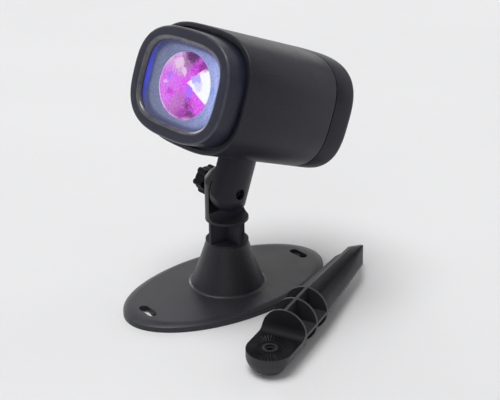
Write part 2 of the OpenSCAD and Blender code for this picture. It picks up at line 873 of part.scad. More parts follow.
module gland_nut() {
    color("#17171b") in_head() translate([0, cap_inner - gland_nut_t, -gland_drop]) rotate([-90, 0, 0])
        difference() {
            cylinder(d = gland_d / cos(30), h = gland_nut_t, $fn = 6);
            translate([0, 0, -cut]) cylinder(d = gland_thread_d + 2 * press_fit, h = gland_nut_t + 2 * cut);
        }
}

module front_bezel() {
    cavity_w = tray_w + 2 * slip;
    cavity_h = tray_h + 2 * slip;
    pocket_w = pane_w + 2 * slip;
    pocket_h = pane_h + 2 * slip;
    shell = concat(
        edge_rings(bezel_w, bezel_h, bezel_square, bezel_edge_r, 0, 1),
        [
            [bezel_w, bezel_h, bezel_square, plug_y], [plug_w, plug_z, barrel_square, plug_y],
            [plug_w, plug_z, barrel_square, plug_end], [cavity_w, cavity_h, bezel_square, plug_end],
            [cavity_w, cavity_h, bezel_square, tray_y], [pocket_w, pocket_h, window_square, tray_y],
            [pocket_w, pocket_h, window_square, window_frame],
            [window_w, window_h, window_square, window_frame]
        ],
        backwards(edge_rings(window_w, window_h, window_square, -window_edge_r, 0, 1))
    );
    color("#2f3137") in_head() oval_skin(shell, loop = true);
}

module window_seal() {
    open_w = pane_w - 2 * seal_w;
    open_h = pane_h - 2 * seal_w;
    color("#101013") in_head() difference() {
        oval_plate(pane_w, pane_h, window_square, window_frame, seal_t);
        oval_plate(open_w, open_h, window_square, window_frame - cut, seal_t + 2 * cut);
    }
}

module window_pane() {
    color("#bcd0f0", 0.3) in_head() oval_plate(pane_w, pane_h, window_square, pane_y, pane_t);
}

// Tray that carries the lens: a plate with an oval opening, and a rim that holds the pane
module lens_tray() {
    rim_w = pane_w - 2 * tray_lip;
    rim_h = pane_h - 2 * tray_lip;
    color("#a9b0c4") in_head() difference() {
        union() {
            oval_plate(tray_w, tray_h, bezel_square, tray_y, tray_t);
            oval_plate(pane_w, pane_h, window_square, pane_back, tray_rim + tray_t / 2);
        }
        oval_plate(rim_w, rim_h, window_square, pane_back - cut, tray_rim + cut);
        oval_plate(lens_w + 2 * slip, lens_h + 2 * slip, ellipse, pane_back, tray_rim + 2 * tray_t);
    }
}

// Clear lens: a crowned oval front, and a flange that seats on the tray's back
module dome_lens() {
    flange_w = lens_w + 2 * lens_lap;
    flange_h = lens_h + 2 * lens_lap;
    crown = [
        for (i = [0:edge_steps])
            let (a = 18 + 72 * i / edge_steps)
                [lens_w * sin(a), lens_h * sin(a), ellipse, tray_y - lens_crown * cos(a)]
    ];
    color("#ee6cf5", 0.6) in_head() oval_skin(concat(crown, [
        [lens_w, lens_h, ellipse, lens_y], [flange_w, flange_h, ellipse, lens_y],
        [flange_w, flange_h, ellipse, lens_y + lens_flange_t]
    ]));
}

// Rippled disc: rings of facets at heights that rise and fall round the disc, on a round hub
module wave_rotor() {
    n = facet_count;
    r = rotor_d / 2;
    height = function (ring, i)
        ring == 0 ? 1 :
        ring == 1 ? 0.72 + 0.28 * sin(137.5 * i) :
        ring == 2 ? 0.42 + 0.2 * cos(200 * i) :
        0;
    radius = [hub_d / 2, r * 0.52, r * 0.8, r, r];
    half_step = [0, 0, 0.5, 0, 0];
    points = [
        for (ring = [0:4], i = [0:n - 1])
            let (
                a = 360 * (i + half_step[ring]) / n,
                depth = ring == 4 ? 0 : rotor_rim_t + rotor_crown * height(ring, i)
            )
                [radius[ring] * cos(a), rotor_back - depth, radius[ring] * sin(a)]
    ];
    faces = [
        for (ring = [0:3], i = [0:n - 1])
            let (
                a = ring * n + i,
                b = ring * n + (i + 1) % n,
                c = (ring + 1) * n + (i + 1) % n,
                d = (ring + 1) * n + i
            )
                each (ring == 1 ? [[a, b, d], [b, c, d]] : [[a, b, c], [a, c, d]])
    ];
    front = [for (i = [n - 1:-1:0]) i];
    back = [for (i = [0:n - 1]) 4 * n + i];
    color("#f0a8f8", 0.7) in_head() difference() {
        union() {
            polyhedron(points, concat(faces, [front, back]), convexity = 6);
            rod_y(hub_d, rotor_back - rotor_rim_t, rotor_rim_t + hub_l);
        }
        rod_y(shaft_d + 2 * press_fit, rotor_top - cut, rotor_back - rotor_top + hub_l + 2 * cut);
    }
}

module rotor_shaft() {
    color("silver") in_head() rod_y(shaft_d, shaft_start, shaft_end - shaft_start);
}

module led_board() {
    color("#e8e8e4") in_head() difference() {
        rod_y(led_d, led_y, board_t);
        rod_y(led_hole_d, led_y - cut, board_t + 2 * cut);
    }
}

module light_emitters() {
    color("#f4ecc8") in_head() for (i = [0:emitter_count - 1])
        rotate([0, 360 * i / emitter_count, 0]) translate([emitter_r, 0, 0]) {
            rod_y(emitter_d, led_y - emitter_h / 2, emitter_h / 2);
            rod_y(emitter_d * 0.7, led_y - emitter_h, emitter_h);
        }
}

module heat_sink() {
    fin_start = motor_d / 2 + fin_step;
    fin_span = 2 * (boss_z - boss_d / 2 - cut);
    color("#9a9ca2") in_head() difference() {
        union() {
            oval_plate(sink_w, sink_h, barrel_square, sink_y, sink_t);
            for (s = [-1, 1], i = [0:fin_count - 1])
                translate([s * (fin_start + i * fin_step) - fin_t / 2, sink_back - cut, -fin_span / 2])
                    cube([fin_t, fin_h + cut, fin_span]);
        }
        rod_y(sink_hole_d, sink_y - cut, sink_t + 2 * cut);
        at_corners(boss_x, boss_z) rod_y(case_screw_d + 2 * slip, sink_y - cut, sink_t + 2 * cut);
        at_motor_ears() rod_y(small_screw_d + 2 * press_fit, sink_y - cut, sink_t + 2 * cut);
    }
}

module sink_screws() {
    color("silver") in_head() at_corners(boss_x, boss_z)
        screw_back(case_screw_d, screw_head_d, screw_head_h, sink_y, sink_t + pilot_l - cut);
}

module at_motor_ears() {
    for (s = [-1, 1])
        translate([0, 0, s * motor_ear]) children();
}

module motor() {
    color("#b8b8b4") in_head() difference() {
        union() {
            rod_y(motor_d, sink_back, motor_flange_t + motor_l);
            rod_y(bush_d, sink_y + sink_t / 2, sink_t);
            along_y(sink_back, motor_flange_t) {
                for (s = [-1, 1])
                    translate([0, s * motor_ear]) circle(r = motor_ear_r);
                square([2 * motor_ear_r, 2 * motor_ear], center = true);
            }
        }
        rod_y(shaft_d + 2 * turn_fit, sink_y, shaft_end - sink_y + slip);
        at_motor_ears() rod_y(small_screw_d + 2 * slip, sink_back - cut, motor_flange_t + 2 * cut);
    }
}

module motor_screws() {
    color("silver") in_head() at_motor_ears()
        screw_forward(small_screw_d, small_head_d, small_head_h, motor_y, motor_flange_t + sink_t - 2 * slip);
}

module driver_board() {
    color("#2c6b3c") in_head() difference() {
        translate([-board_w / 2, board_y, -board_h / 2]) cube([board_w, board_t, board_h]);
        at_corners(board_post_x, board_post_z)
            rod_y(small_screw_d + 2 * slip, board_y - cut, board_t + 2 * cut);
    }
}

// Capacitor, coil and control chip on the driver board
module driver_parts() {
    color("#2a2a30") in_head() {
        translate([-capacitor_d, 0, 0]) rod_y(capacitor_d, board_back, capacitor_l);
        translate([0, board_back, -coil_h / 2]) cube([coil_w, coil_l, coil_h]);
        translate([-chip_w / 2, board_y - chip_t, -chip_h / 2]) cube([chip_w, chip_t, chip_h]);
    }
}

module board_screws() {
    color("silver") in_head() at_corners(board_post_x, board_post_z)
        screw_back(small_screw_d, small_head_d, small_head_h, board_y, board_t + pilot_l - cut);
}

// One web of the stake's blade, tapering to a blunt point
module blade_plate() {
    outline = [
        [-rod_r + press_fit, -collar_end + ring_t / 2], [rod_r - press_fit, -collar_end + ring_t / 2],
        [blade_w / 2, tip_l - stake_l], [web_t / 2, -stake_l], [-web_t / 2, -stake_l],
        [-blade_w / 2, tip_l - stake_l]
    ];
    rotate([90, 0, 0]) linear_extrude(web_t, center = true) polygon(outline);
}

module ground_stake() {
    color("#36353b") on_floor() {
        clamped_knuckle();
        collar(2);
        for (a = [0, 90])
            rotate([0, 0, a]) blade_plate();
    }
}

base_flange();
base_post();
post_screws();
washer();
tilt_knob();
knob_nut();
pivot_bolt();
tilt_arm();
arm_screws();
housing_barrel();
rear_seal();
rear_cap();
rear_screws();
cable_gland();
gland_nut();
front_bezel();
window_seal();
window_pane();
lens_tray();
dome_lens();
wave_rotor();
rotor_shaft();
led_board();
light_emitters();
heat_sink();
sink_screws();
motor();
motor_screws();
driver_board();
driver_parts();
board_screws();
ground_stake();
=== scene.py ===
"""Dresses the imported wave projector: moulded head, eased stand and stake, optics, finishes and stage."""

import json
import math

import bmesh
import bpy
from bpy.props import FloatProperty, FloatVectorProperty, IntProperty, PointerProperty
from mathutils import Matrix, Vector


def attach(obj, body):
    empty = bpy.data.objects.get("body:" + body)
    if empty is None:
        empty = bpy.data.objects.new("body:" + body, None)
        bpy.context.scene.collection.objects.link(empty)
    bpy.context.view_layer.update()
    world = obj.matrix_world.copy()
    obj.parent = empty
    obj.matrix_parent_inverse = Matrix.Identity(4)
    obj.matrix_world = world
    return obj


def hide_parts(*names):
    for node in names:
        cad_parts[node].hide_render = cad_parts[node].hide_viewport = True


bl_info = {
    "name": "Wave projector",
    "version": (1, 0, 0),
    "blender": (4, 5, 0),
    "location": "3D View > Sidebar > Wave projector",
    "description": "Dresses the packed wave projector with its mouldings, optics and finishes",
    "category": "Add Mesh",
}

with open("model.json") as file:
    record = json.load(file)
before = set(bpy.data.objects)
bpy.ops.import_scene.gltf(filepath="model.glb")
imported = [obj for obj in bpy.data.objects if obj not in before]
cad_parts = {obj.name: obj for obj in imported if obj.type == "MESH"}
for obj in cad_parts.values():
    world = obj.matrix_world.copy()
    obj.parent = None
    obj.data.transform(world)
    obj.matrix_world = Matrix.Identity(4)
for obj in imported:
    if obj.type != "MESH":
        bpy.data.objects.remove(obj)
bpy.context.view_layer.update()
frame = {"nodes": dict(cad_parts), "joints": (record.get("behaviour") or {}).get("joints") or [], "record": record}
PIVOT = next(j for j in frame["joints"] if j["name"] == "head_tilt")["pos_m"]
MM = 0.001


def length(name, description, default):
    return FloatProperty(name=name, description=description, default=default, unit="LENGTH", precision=5)


def number(name, description, default):
    return FloatProperty(name=name, description=description, default=default)


def degrees(name, description, default):
    return FloatProperty(name=name, description=description, default=math.radians(default), subtype="ANGLE")


def tone(name, description, default):
    return FloatVectorProperty(
        name=name, description=description, default=default, subtype="COLOR", min=0, max=1
    )


class HeadSizes(bpy.types.PropertyGroup):
    """Sizes of the lamp head, with depths measured back from the bezel's face"""

    pitch: degrees("Pitch", "Angle that the beam is tipped up", 19)
    setback: length("Setback", "Distance from the bezel's face back to the tilt axis", 0.056)
    rise: length("Rise", "Distance from the tilt axis up to the head's axis", 0.0565)
    width: length("Width", "Width of the barrel", 0.092)
    height: length("Height", "Height of the barrel", 0.07)
    square: number("Squareness", "Squareness of the barrel's section", 3)
    wall: length("Wall", "Wall of the barrel", 0.0026)
    front: length("Barrel front", "Depth of the barrel's front edge", 0.012)
    end: length("Barrel end", "Depth of the barrel's rear edge", 0.0796)
    edge: length("Front edge", "Rounding of the barrel's front edge", 0.001)
    seam: length("Seam edge", "Rounding of the edges along the rear seam", 0.0003)
    cap: length("Cap", "Depth of the rear cap's front edge", 0.0802)
    back: length("Back", "Depth of the head's rear end", 0.097)
    cap_edge: length("Cap edge", "Rounding of the rear cap's end", 0.004)
    spigot: length("Spigot", "Length of the rear cap's spigot", 0.0056)
    spigot_wall: length("Spigot wall", "Wall of the rear cap's spigot", 0.0022)
    well: length("Well", "Diameter of a screw well in the rear cap", 0.00574)
    well_depth: length("Well depth", "Depth of a screw well in the rear cap", 0.0046)
    segments: IntProperty(
        name="Segments", description="Corners of a lofted oval", default=192, min=64, max=512
    )


class WindowSizes(bpy.types.PropertyGroup):
    """Sizes of the bezel, the lens tray and the lens"""

    width: length("Bezel width", "Width of the bezel", 0.0854)
    height: length("Bezel height", "Height of the bezel", 0.062)
    square: number("Bezel squareness", "Squareness of the bezel's section", 2.8)
    edge: length("Bezel edge", "Rounding of the bezel's front edge", 0.001)
    plug: length("Plug", "Depth where the bezel's plug starts", 0.014)
    plug_end: length("Plug end", "Depth where the bezel's plug ends", 0.024)
    wall: length("Bezel wall", "Wall of the bezel around the lens tray", 0.003)
    slip: length("Slip", "Room between pieces that slide together", 0.0002)
    open_w: length("Window width", "Width of the window opening", 0.067)
    open_h: length("Window height", "Height of the window opening", 0.046)
    open_square: number("Window squareness", "Squareness of the window opening", 3.4)
    open_edge: length("Window edge", "Rounding of the window opening's edge", 0.0022)
    frame: length("Frame depth", "Depth of the frame in front of its seal", 0.0026)
    pane_lap: length("Pane lap", "How far the pane reaches past the opening", 0.0024)
    pane_back: length("Pane back", "Depth of the pane's back", 0.004)
    tray: length("Tray", "Depth of the lens tray's plate", 0.0052)
    tray_t: length("Tray thickness", "Thickness of the lens tray", 0.0016)
    tray_lip: length("Tray lip", "Width of the tray's rim behind the pane", 0.0014)
    hole_edge: length("Lens hole edge", "Rounding of the tray's edge round the lens", 0.0005)
    lens_w: length("Lens width", "Width of the oval lens", 0.0455)
    lens_h: length("Lens height", "Height of the oval lens", 0.0375)
    lens_crown: length("Lens crown", "Crown of the lens in front of the tray", 0.0008)
    lens_lap: length("Lens lap", "How far the lens's flange reaches past its opening", 0.0022)
    flange_t: length("Flange", "Thickness of the lens's flange", 0.0016)


class RodSizes(bpy.types.PropertyGroup):
    """Sizes of the round rod that the post and the stake are cut from"""

    radius: length("Rod radius", "Radius of the rod", 0.01325)
    boss: length("Boss radius", "Radius of the smooth boss round the bolt", 0.0047)
    lap: length("Lap", "Distance from the bolt to the first ring of the collar", 0.0195)
    collar: length("Collar", "Distance from the bolt to the end of the stake's collar", 0.0495)
    turn: degrees("Stake turn", "Angle of the stake on the floor", 23.75)


class FootSizes(bpy.types.PropertyGroup):
    """Sizes at the pedestal's foot"""

    top: length("Base top", "Height of the base's flat top", 0.0045)
    radius: length("Foot radius", "Radius of the pedestal's foot", 0.0234)
    fillet: length("Fillet", "Rounding at the pedestal's foot", 0.002)


class FinishTones(bpy.types.PropertyGroup):
    """Colours of the mouldings and the floor, in linear light"""

    barrel: tone("Barrel", "Barrel and rear cap", (0.013, 0.013, 0.021))
    bezel: tone("Bezel", "Front bezel", (0.018, 0.020, 0.036))
    base: tone("Base", "Oval base and pedestal", (0.026, 0.026, 0.033))
    post: tone("Post", "Post and collar", (0.018, 0.018, 0.023))
    arm: tone("Arm", "Tilt arm", (0.012, 0.012, 0.020))
    knob: tone("Knob", "Clamp knob and gland", (0.005, 0.005, 0.006))
    stake: tone("Stake", "Ground stake", (0.023, 0.023, 0.027))
    floor: tone("Floor", "Studio floor", (0.80, 0.80, 0.81))


class StageSettings(bpy.types.PropertyGroup):
    """Camera and light"""

    lens_mm: number("Lens", "Focal length on a 36 mm sensor", 71.534)
    place: FloatVectorProperty(
        name="Camera", description="Camera position", default=(0.4341, -0.3417, 0.2965), subtype="TRANSLATION"
    )
    drop: degrees("Drop", "Angle that the camera looks down", 23.24)
    turn: degrees("Turn", "Angle of the camera round the object", 50.33)
    sky: number("Sky", "Strength of the even light all round", 0.22)
    key: number("Key", "Strength of the overhead light", 2.1)
    back: number("Back", "Strength of the light behind on the left", 0.45)
    left: number("Left", "Strength of the low light on the left", 0.7)
    right: number("Right", "Strength of the low light behind on the right", 0.18)
    rear: number("Rear", "Strength of the high light behind", 0.30)
    side: number("Side", "Strength of the low light on the front left", 0.12)
    front: number("Front", "Strength of the light by the camera", 0.19)


class Sock:
    """A shader socket that takes part in arithmetic"""

    def __init__(self, finish, socket):
        self.finish = finish
        self.socket = socket

    def math(self, operation, first, second=0.0):
        return self.finish.node("ShaderNodeMath", {"operation": operation}, {0: first, 1: second})

    def __add__(self, other):
        return self.math("ADD", self, other)

    def __mul__(self, other):
        return self.math("MULTIPLY", self, other)

    def __sub__(self, other):
        return self.math("SUBTRACT", self, other)

    def __rsub__(self, other):
        return self.math("SUBTRACT", other, self)

    def __truediv__(self, other):
        return self.math("DIVIDE", self, other)

    def __pow__(self, other):
        return self.math("POWER", self, other)

    __radd__ = __add__
    __rmul__ = __mul__


class Finish:
    """A material that is being built from nodes"""

    def __init__(self, name):
        self.material = bpy.data.materials.new(name)
        self.material.use_nodes = True
        self.tree = self.material.node_tree
        self.tree.nodes.clear()

    def node(self, kind, settings=None, sockets=None, out=0):
        made = self.tree.nodes.new(kind)
        for key, value in (settings or {}).items():
            if key == "stops":
                ramp = made.color_ramp.elements
                while len(ramp) < len(value):
                    ramp.new(1)
                for element, (place, colour) in zip(ramp, value):
                    element.position = place
                    element.color = (*colour, 1)
            else:
                setattr(made, key, value)
        for key, value in (sockets or {}).items():
            if isinstance(value, Sock):
                self.tree.links.new(value.socket, made.inputs[key])
            elif hasattr(value, "__len__") and len(value) == 3 and len(made.inputs[key].default_value) == 4:
                made.inputs[key].default_value = (*value, 1)
            else:
                made.inputs[key].default_value = value
        return Sock(self, made.outputs[out])

    def place(self):
        """Object coordinates"""
        return self.node("ShaderNodeTexCoord", out=3)

    def noise(self, scale, detail=3, rough=0.5, where=None, distortion=0.0):
        sockets = {"Scale": scale, "Detail": detail, "Roughness": rough, "Distortion": distortion}
        return self.node("ShaderNodeTexNoise", None, {"Vector": where or self.place(), **sockets})

    def between(self, value, low, high, to_low=0.0, to_high=1.0):
        """Value moved from one range to another and held inside it"""
        return self.node(
            "ShaderNodeMapRange", {"clamp": True}, {0: value, 1: low, 2: high, 3: to_low, 4: to_high}
        )

    def mix(self, factor, first, second, blend="MIX"):
        """Two colours mixed"""
        settings = {"data_type": "RGBA", "blend_type": blend}
        return self.node("ShaderNodeMix", settings, {0: factor, 6: first, 7: second}, out=2)

    def edge(self):
        """Edge mark, for paleness from wear and painted highlights: up to one on the eased edges of a piece, more
        on the pedestal's foot, and zero elsewhere
        """
        return self.node("ShaderNodeAttribute", {"attribute_name": "edge"}, out=2)

    def inner(self):
        """Zero on a rod's skin, one on its toothed face, which gets painted shade, and up to two in its pockets,
        which get painted light
        """
        return self.node("ShaderNodeAttribute", {"attribute_name": "inner"}, out=2)

    def bump(self, height, strength, distance, under=None):
        sockets = {"Height": height, "Strength": strength, "Distance": distance}
        if under:
            sockets["Normal"] = under
        return self.node("ShaderNodeBump", None, sockets)

    def principled(self, **sockets):
        named = {key.replace("_", " ").title().replace("Ior", "IOR"): value for key, value in sockets.items()}
        return self.node("ShaderNodeBsdfPrincipled", None, named)

    def output(self, shader):
        end = self.tree.nodes.new("ShaderNodeOutputMaterial")
        self.tree.links.new(shader.socket, end.inputs[0])
        return self.material

    def surface(self, **sockets):
        """Principled shader on the material's output"""
        return self.output(self.principled(**sockets))


def scaled(colour, by):
    return tuple(min(1.0, c * by) for c in colour)


def greyed(colour, by):
    """Grey of a colour's own depth, made brighter"""
    return (sum(colour) / 3 * by,) * 3


def moulded(name, colour, rough, grain=0.35, mottle=0.16, wear_and_highlight=1.5, shine=0.5, dust=0.0, polished=False):
    """Moulded plastic: cloudy tone, eroded grain, scuffs, and paler edges that are worn and carry painted
    highlights; where a rod is cut, painted shade darkens its toothed face and painted light brightens its pockets
    """
    f = Finish(name)
    cloud = f.noise(55, detail=4, rough=0.6)
    speck = f.noise(900, detail=2)
    scuff = f.between(f.noise(240, detail=5, rough=0.75, distortion=0.6), 0.56, 0.72)
    # Paler edges from the edge mark: worn edges with highlights painted on them
    rub_and_highlight = f.edge() * f.between(f.noise(160), 0.3, 0.6, 0.35, 1.0)
    tone_low = f.mix(f.between(cloud, 0.3, 0.7), scaled(colour, 1 - mottle), scaled(colour, 1 + mottle))
    tone_fine = f.mix(f.between(speck, 0.35, 0.75) * 0.35, tone_low, scaled(colour, 1.7))
    tone_edge = f.mix(rub_and_highlight * 0.8, tone_fine, greyed(colour, wear_and_highlight))
    gloss = f.between(cloud, 0.3, 0.7, rough - 0.05, rough + 0.05) + scuff * 0.07 - rub_and_highlight * 0.08
    pits = f.noise(2600, detail=2, rough=0.6) + speck * 0.5
    waves = f.noise(34, detail=2, rough=0.4)
    normal = f.bump(pits, grain, 0.00012, f.bump(waves, 0.12, 0.0006))
    coat = {"coat_weight": f.edge(), "coat_roughness": 0.2} if polished else {}
    skin = f.principled(
        base_color=tone_edge, roughness=gloss, normal=normal, specular_ior_level=shine, **coat
    )
    if not dust:
        return f.output(skin)
    # Cut faces of a rod: painted shade darkens the toothed face, and painted light, scaled by the dust factor,
    # brightens the pockets
    inner = f.inner()
    cut_shade_and_light = f.mix(f.between(inner, 1.0, 2.0), scaled(colour, 0.3), scaled(colour, dust))
    cut = f.principled(base_color=cut_shade_and_light, roughness=gloss + 0.1, normal=normal, specular_ior_level=0.1)
    return f.output(f.node("ShaderNodeMixShader", None, {0: f.between(inner, 0.0, 1.0), 1: skin, 2: cut}))


def rubber(name):
    """Dull rubber with dust on it"""
    f = Finish(name)
    dust = f.between(f.noise(420, detail=4, rough=0.7), 0.45, 0.75)
    colour = f.mix(dust * 0.5, (0.008, 0.008, 0.009), (0.035, 0.034, 0.034))
    grain = f.bump(f.noise(1500), 0.3, 0.0001)
    return f.surface(base_color=colour, roughness=dust * 0.15 + 0.7, normal=grain)


def turned_metal(name, colour, rough, metallic=1.0):
    """Plated or bare metal with fine drawn lines and stains"""
    f = Finish(name)
    stretched = f.node("ShaderNodeMapping", None, {"Vector": f.place(), "Scale": (1, 1, 9)})
    lines = f.noise(700, rough=0.6, where=stretched)
    stain = f.between(f.noise(130, detail=4, rough=0.65), 0.4, 0.75)
    tone_low = f.mix(f.between(lines, 0.3, 0.7), scaled(colour, 0.82), scaled(colour, 1.12))
    tone_all = f.mix(stain * 0.4, tone_low, scaled(colour, 0.55))
    gloss = f.between(lines, 0.3, 0.7, rough - 0.06, rough + 0.06) + stain * 0.12
    return f.surface(
        base_color=tone_all, roughness=gloss, metallic=metallic, normal=f.bump(lines, 0.25, 0.00008)
    )


def board(name, colour, speck):
    """Circuit board lacquer with weave and copper specks"""
    f = Finish(name)
    weave = f.node("ShaderNodeTexVoronoi", {"distance": "CHEBYCHEV"}, {"Vector": f.place(), "Scale": 520.0})
    tracks = f.between(f.noise(210, detail=2, rough=0.4), 0.52, 0.56)
    tone_low = f.mix(tracks * 0.6, colour, scaled(colour, 1.5))
    tone_all = f.mix(f.between(weave, 0.0, 0.25, 0.5, 0.0), tone_low, speck)
    return f.surface(base_color=tone_all, roughness=tracks * -0.1 + 0.42, normal=f.bump(weave, 0.3, 0.0001))


def head_place(sizes):
    """Transform from the head's own axes, with Y as the depth behind the bezel's face"""
    tip = Matrix.Rotation(-sizes.pitch, 4, "X")
    return Matrix.Translation(PIVOT) @ tip @ Matrix.Translation((0, -sizes.setback, sizes.rise))


def in_head_coords(f, sizes):
    """Object coordinates turned into the head's own axes, in millimetres"""
    origin = head_place(sizes).to_translation()
    turned = f.node(
        "ShaderNodeMapping", {"vector_type": "TEXTURE"},
        {"Vector": f.place(), "Location": origin, "Rotation": (-sizes.pitch, 0, 0), "Scale": (MM, MM, MM)},
    )
    return turned, [f.node("ShaderNodeSeparateXYZ", None, {0: turned}, out=i) for i in range(3)]


# Tones of the projected light, in linear light; rim is the tone of the painted highlight on the lens's rim
LIGHT = {
    "magenta": (0.84, 0.10, 0.96), "pink": (0.78, 0.20, 0.95), "cream": (0.72, 0.52, 0.72),
    "taupe": (0.36, 0.18, 0.38), "plum": (0.075, 0.006, 0.10), "wine": (0.24, 0.01, 0.26),
    "rose": (0.56, 0.03, 0.62), "white": (0.86, 0.88, 0.96), "violet": (0.36, 0.14, 0.93),
    "lilac": (0.62, 0.60, 0.98), "dusk": (0.47, 0.17, 0.48), "periwinkle": (0.38, 0.36, 0.96),
    "haze": (0.66, 0.46, 0.97), "blush": (0.80, 0.46, 0.92), "rim": (0.86, 0.50, 0.86),
}
# Wedges of light round the lens's brightest point: turn in degrees and tone
WEDGES = (
    (-180, "pink"), (-140, "pink"), (-118, "dusk"), (-92, "dusk"), (-72, "wine"), (-56, "rose"),
    (-40, "magenta"), (30, "magenta"), (43, "rose"), (78, "rose"), (96, "taupe"), (118, "taupe"),
    (126, "cream"), (154, "cream"), (172, "pink"), (180, "pink"),
)
# Turns in degrees between which the light is white
WHITE_WEDGE = (-23, 42)
# Facets that catch another colour: across, up, half width and half height in millimetres, and tone
FLECKS = (
    (10.4, 5.2, 4.4, 3.0, "periwinkle"), (13.4, 2.2, 3.4, 2.8, "lilac"), (6.2, -2.2, 3.8, 4.0, "violet"),
    (-13.8, 2.8, 2.0, 2.0, "violet"), (-16.4, -1.4, 2.6, 1.2, "haze"), (2.6, 17.0, 6.4, 3.6, "plum"),
    (13.6, 13.6, 4.0, 3.0, "wine"), (11.2, -14.6, 3.6, 2.8, "plum"), (-7.8, 11.0, 4.4, 3.2, "cream"),
    (-4.0, -10.6, 3.2, 2.4, "dusk"), (3.4, -14.8, 3.0, 2.2, "rose"), (-9.6, -5.4, 2.6, 2.2, "rose"),
    (-1.6, 7.4, 2.8, 2.4, "cream"),
)
# Brightest point of the lens, across and up in millimetres
APEX = (3.3, 2.0)
# Radius of the wave disc in millimetres
DISC_R = 23.0


def arctan(f, up, across):
    return f.node("ShaderNodeMath", {"operation": "ARCTAN2"}, {0: up, 1: across})


def spot(f, x, z, across, up, half_w, half_h):
    """One inside a soft-edged oval, and zero outside it"""
    off_x = (x - across) / half_w
    off_z = (z - up) / half_h
    return f.between(off_x * off_x + off_z * off_z, 1.2, 0.6)


def light_wedges(f, sizes, apex, half_w, half_h):
    """Colours that the light source throws on the optics: wedges round an apex, broken into facets"""
    _, (x, _, z) = in_head_coords(f, sizes)
    flat = f.node("ShaderNodeCombineXYZ", None, {0: x, 1: z})
    cells = [
        f.node("ShaderNodeTexVoronoi", {"voronoi_dimensions": "2D"}, {"Vector": flat, "Scale": 0.42}, out=i)
        for i in (0, 1, 2)
    ]
    facet = f.node("ShaderNodeMix", {"data_type": "VECTOR"}, {0: 0.7, 4: flat, 5: cells[2]}, out=1)
    facet_x, facet_z = [f.node("ShaderNodeSeparateXYZ", None, {0: facet}, out=i) for i in (0, 1)]
    dx = facet_x - apex[0]
    dz = facet_z - apex[1]
    turn = arctan(f, dz, dx) / (2 * math.pi) + 0.5
    stops = [((a + 180) / 360, LIGHT[c]) for a, c in WEDGES]
    wedge = f.node("ShaderNodeValToRGB", {"stops": stops}, {0: turn})
    reach = (dx * dx + dz * dz) ** 0.5
    body = f.mix(f.between(reach, 3.0, 11.0), LIGHT["magenta"], wedge)
    chance = [f.node("ShaderNodeSeparateColor", None, {0: cells[1]}, out=i) for i in range(2)]
    body = f.mix(f.between(chance[0], 0.5, 1.0) * 0.45, body, LIGHT["magenta"])
    body = f.mix(f.between(chance[1], 0.55, 1.0) * 0.45, body, LIGHT["dusk"])
    grain = f.between(f.noise(0.7, detail=4, rough=0.65, where=flat), 0.3, 0.7)
    body = f.mix(1.0, body, f.mix(grain, (0.60, 0.46, 0.66), (1.0, 1.0, 1.0)), "MULTIPLY")
    pale = f.between(f.noise(0.9, rough=0.6, where=flat), 0.54, 0.68)
    body = f.mix(pale * 0.4, body, LIGHT["blush"])
    exact = arctan(f, z - apex[1], x - apex[0]) * (180 / math.pi)
    low, high = WHITE_WEDGE
    white = f.between(exact, low - 1, low + 1) * f.between(exact, high + 1, high - 1)
    body = f.mix(white, body, LIGHT["white"])
    for *oval, colour in FLECKS:
        body = f.mix(spot(f, facet_x, facet_z, *oval) * 0.92, body, LIGHT[colour])
    body = f.mix(f.between(cells[0], 0.25, 0.0) * 0.25, body, LIGHT["pink"])
    out = ((x / half_w) ** 2 + (z / half_h) ** 2) ** 0.5
    return body, out, x, z


def lens_finish(sizes, window):
    """Clear lens filled with the light source's colours, with a painted highlight on its rim low on the left"""
    f = Finish("lens_light")
    half_w, half_h = window.lens_w / 2 / MM, window.lens_h / 2 / MM
    colour, out, x, z = light_wedges(f, sizes, APEX, half_w, half_h)
    low_right = f.between(z, -11.5, -16.0) * f.between(x, -6.0, 2.0)
    colour = f.mix(low_right * 0.75, colour, LIGHT["wine"])
    # Painted highlight along the rim, low on the left, given off as glow with the rest of the lens
    low_left = f.between(x + z, 4.0, -12.0)
    rim = f.between(out, 0.92, 0.98) * low_left * f.between(f.noise(150), 0.35, 0.6) * 0.6
    with_rim_highlight = f.mix(rim, colour, LIGHT["rim"])
    ripple = f.noise(230, detail=2, rough=0.4)
    return f.surface(
        base_color=f.mix(0.92, with_rim_highlight, (0.0, 0.0, 0.0)), roughness=ripple * 0.08 + 0.08,
        emission_color=with_rim_highlight, emission_strength=1.05, alpha=f.between(out, 0.0, 1.0, 0.95, 0.98),
        normal=f.bump(ripple, 0.25, 0.0006), specular_ior_level=0.15,
    )


def rotor_finish(sizes):
    """Rippled clear disc lit from behind"""
    f = Finish("rotor_light")
    colour, out, _, _ = light_wedges(f, sizes, (0.0, 0.0), DISC_R, DISC_R)
    ripple = f.noise(170)
    return f.surface(
        base_color=colour, roughness=ripple * 0.1 + 0.08, emission_color=colour, emission_strength=0.7,
        alpha=f.between(out, 0.0, 1.0, 0.95, 0.85), normal=f.bump(ripple, 0.4, 0.0008),
    )


# Blue glint on the tray: across, up, half width and half height in millimetres
GLINT = (24.4, 2.4, 2.0, 2.6)


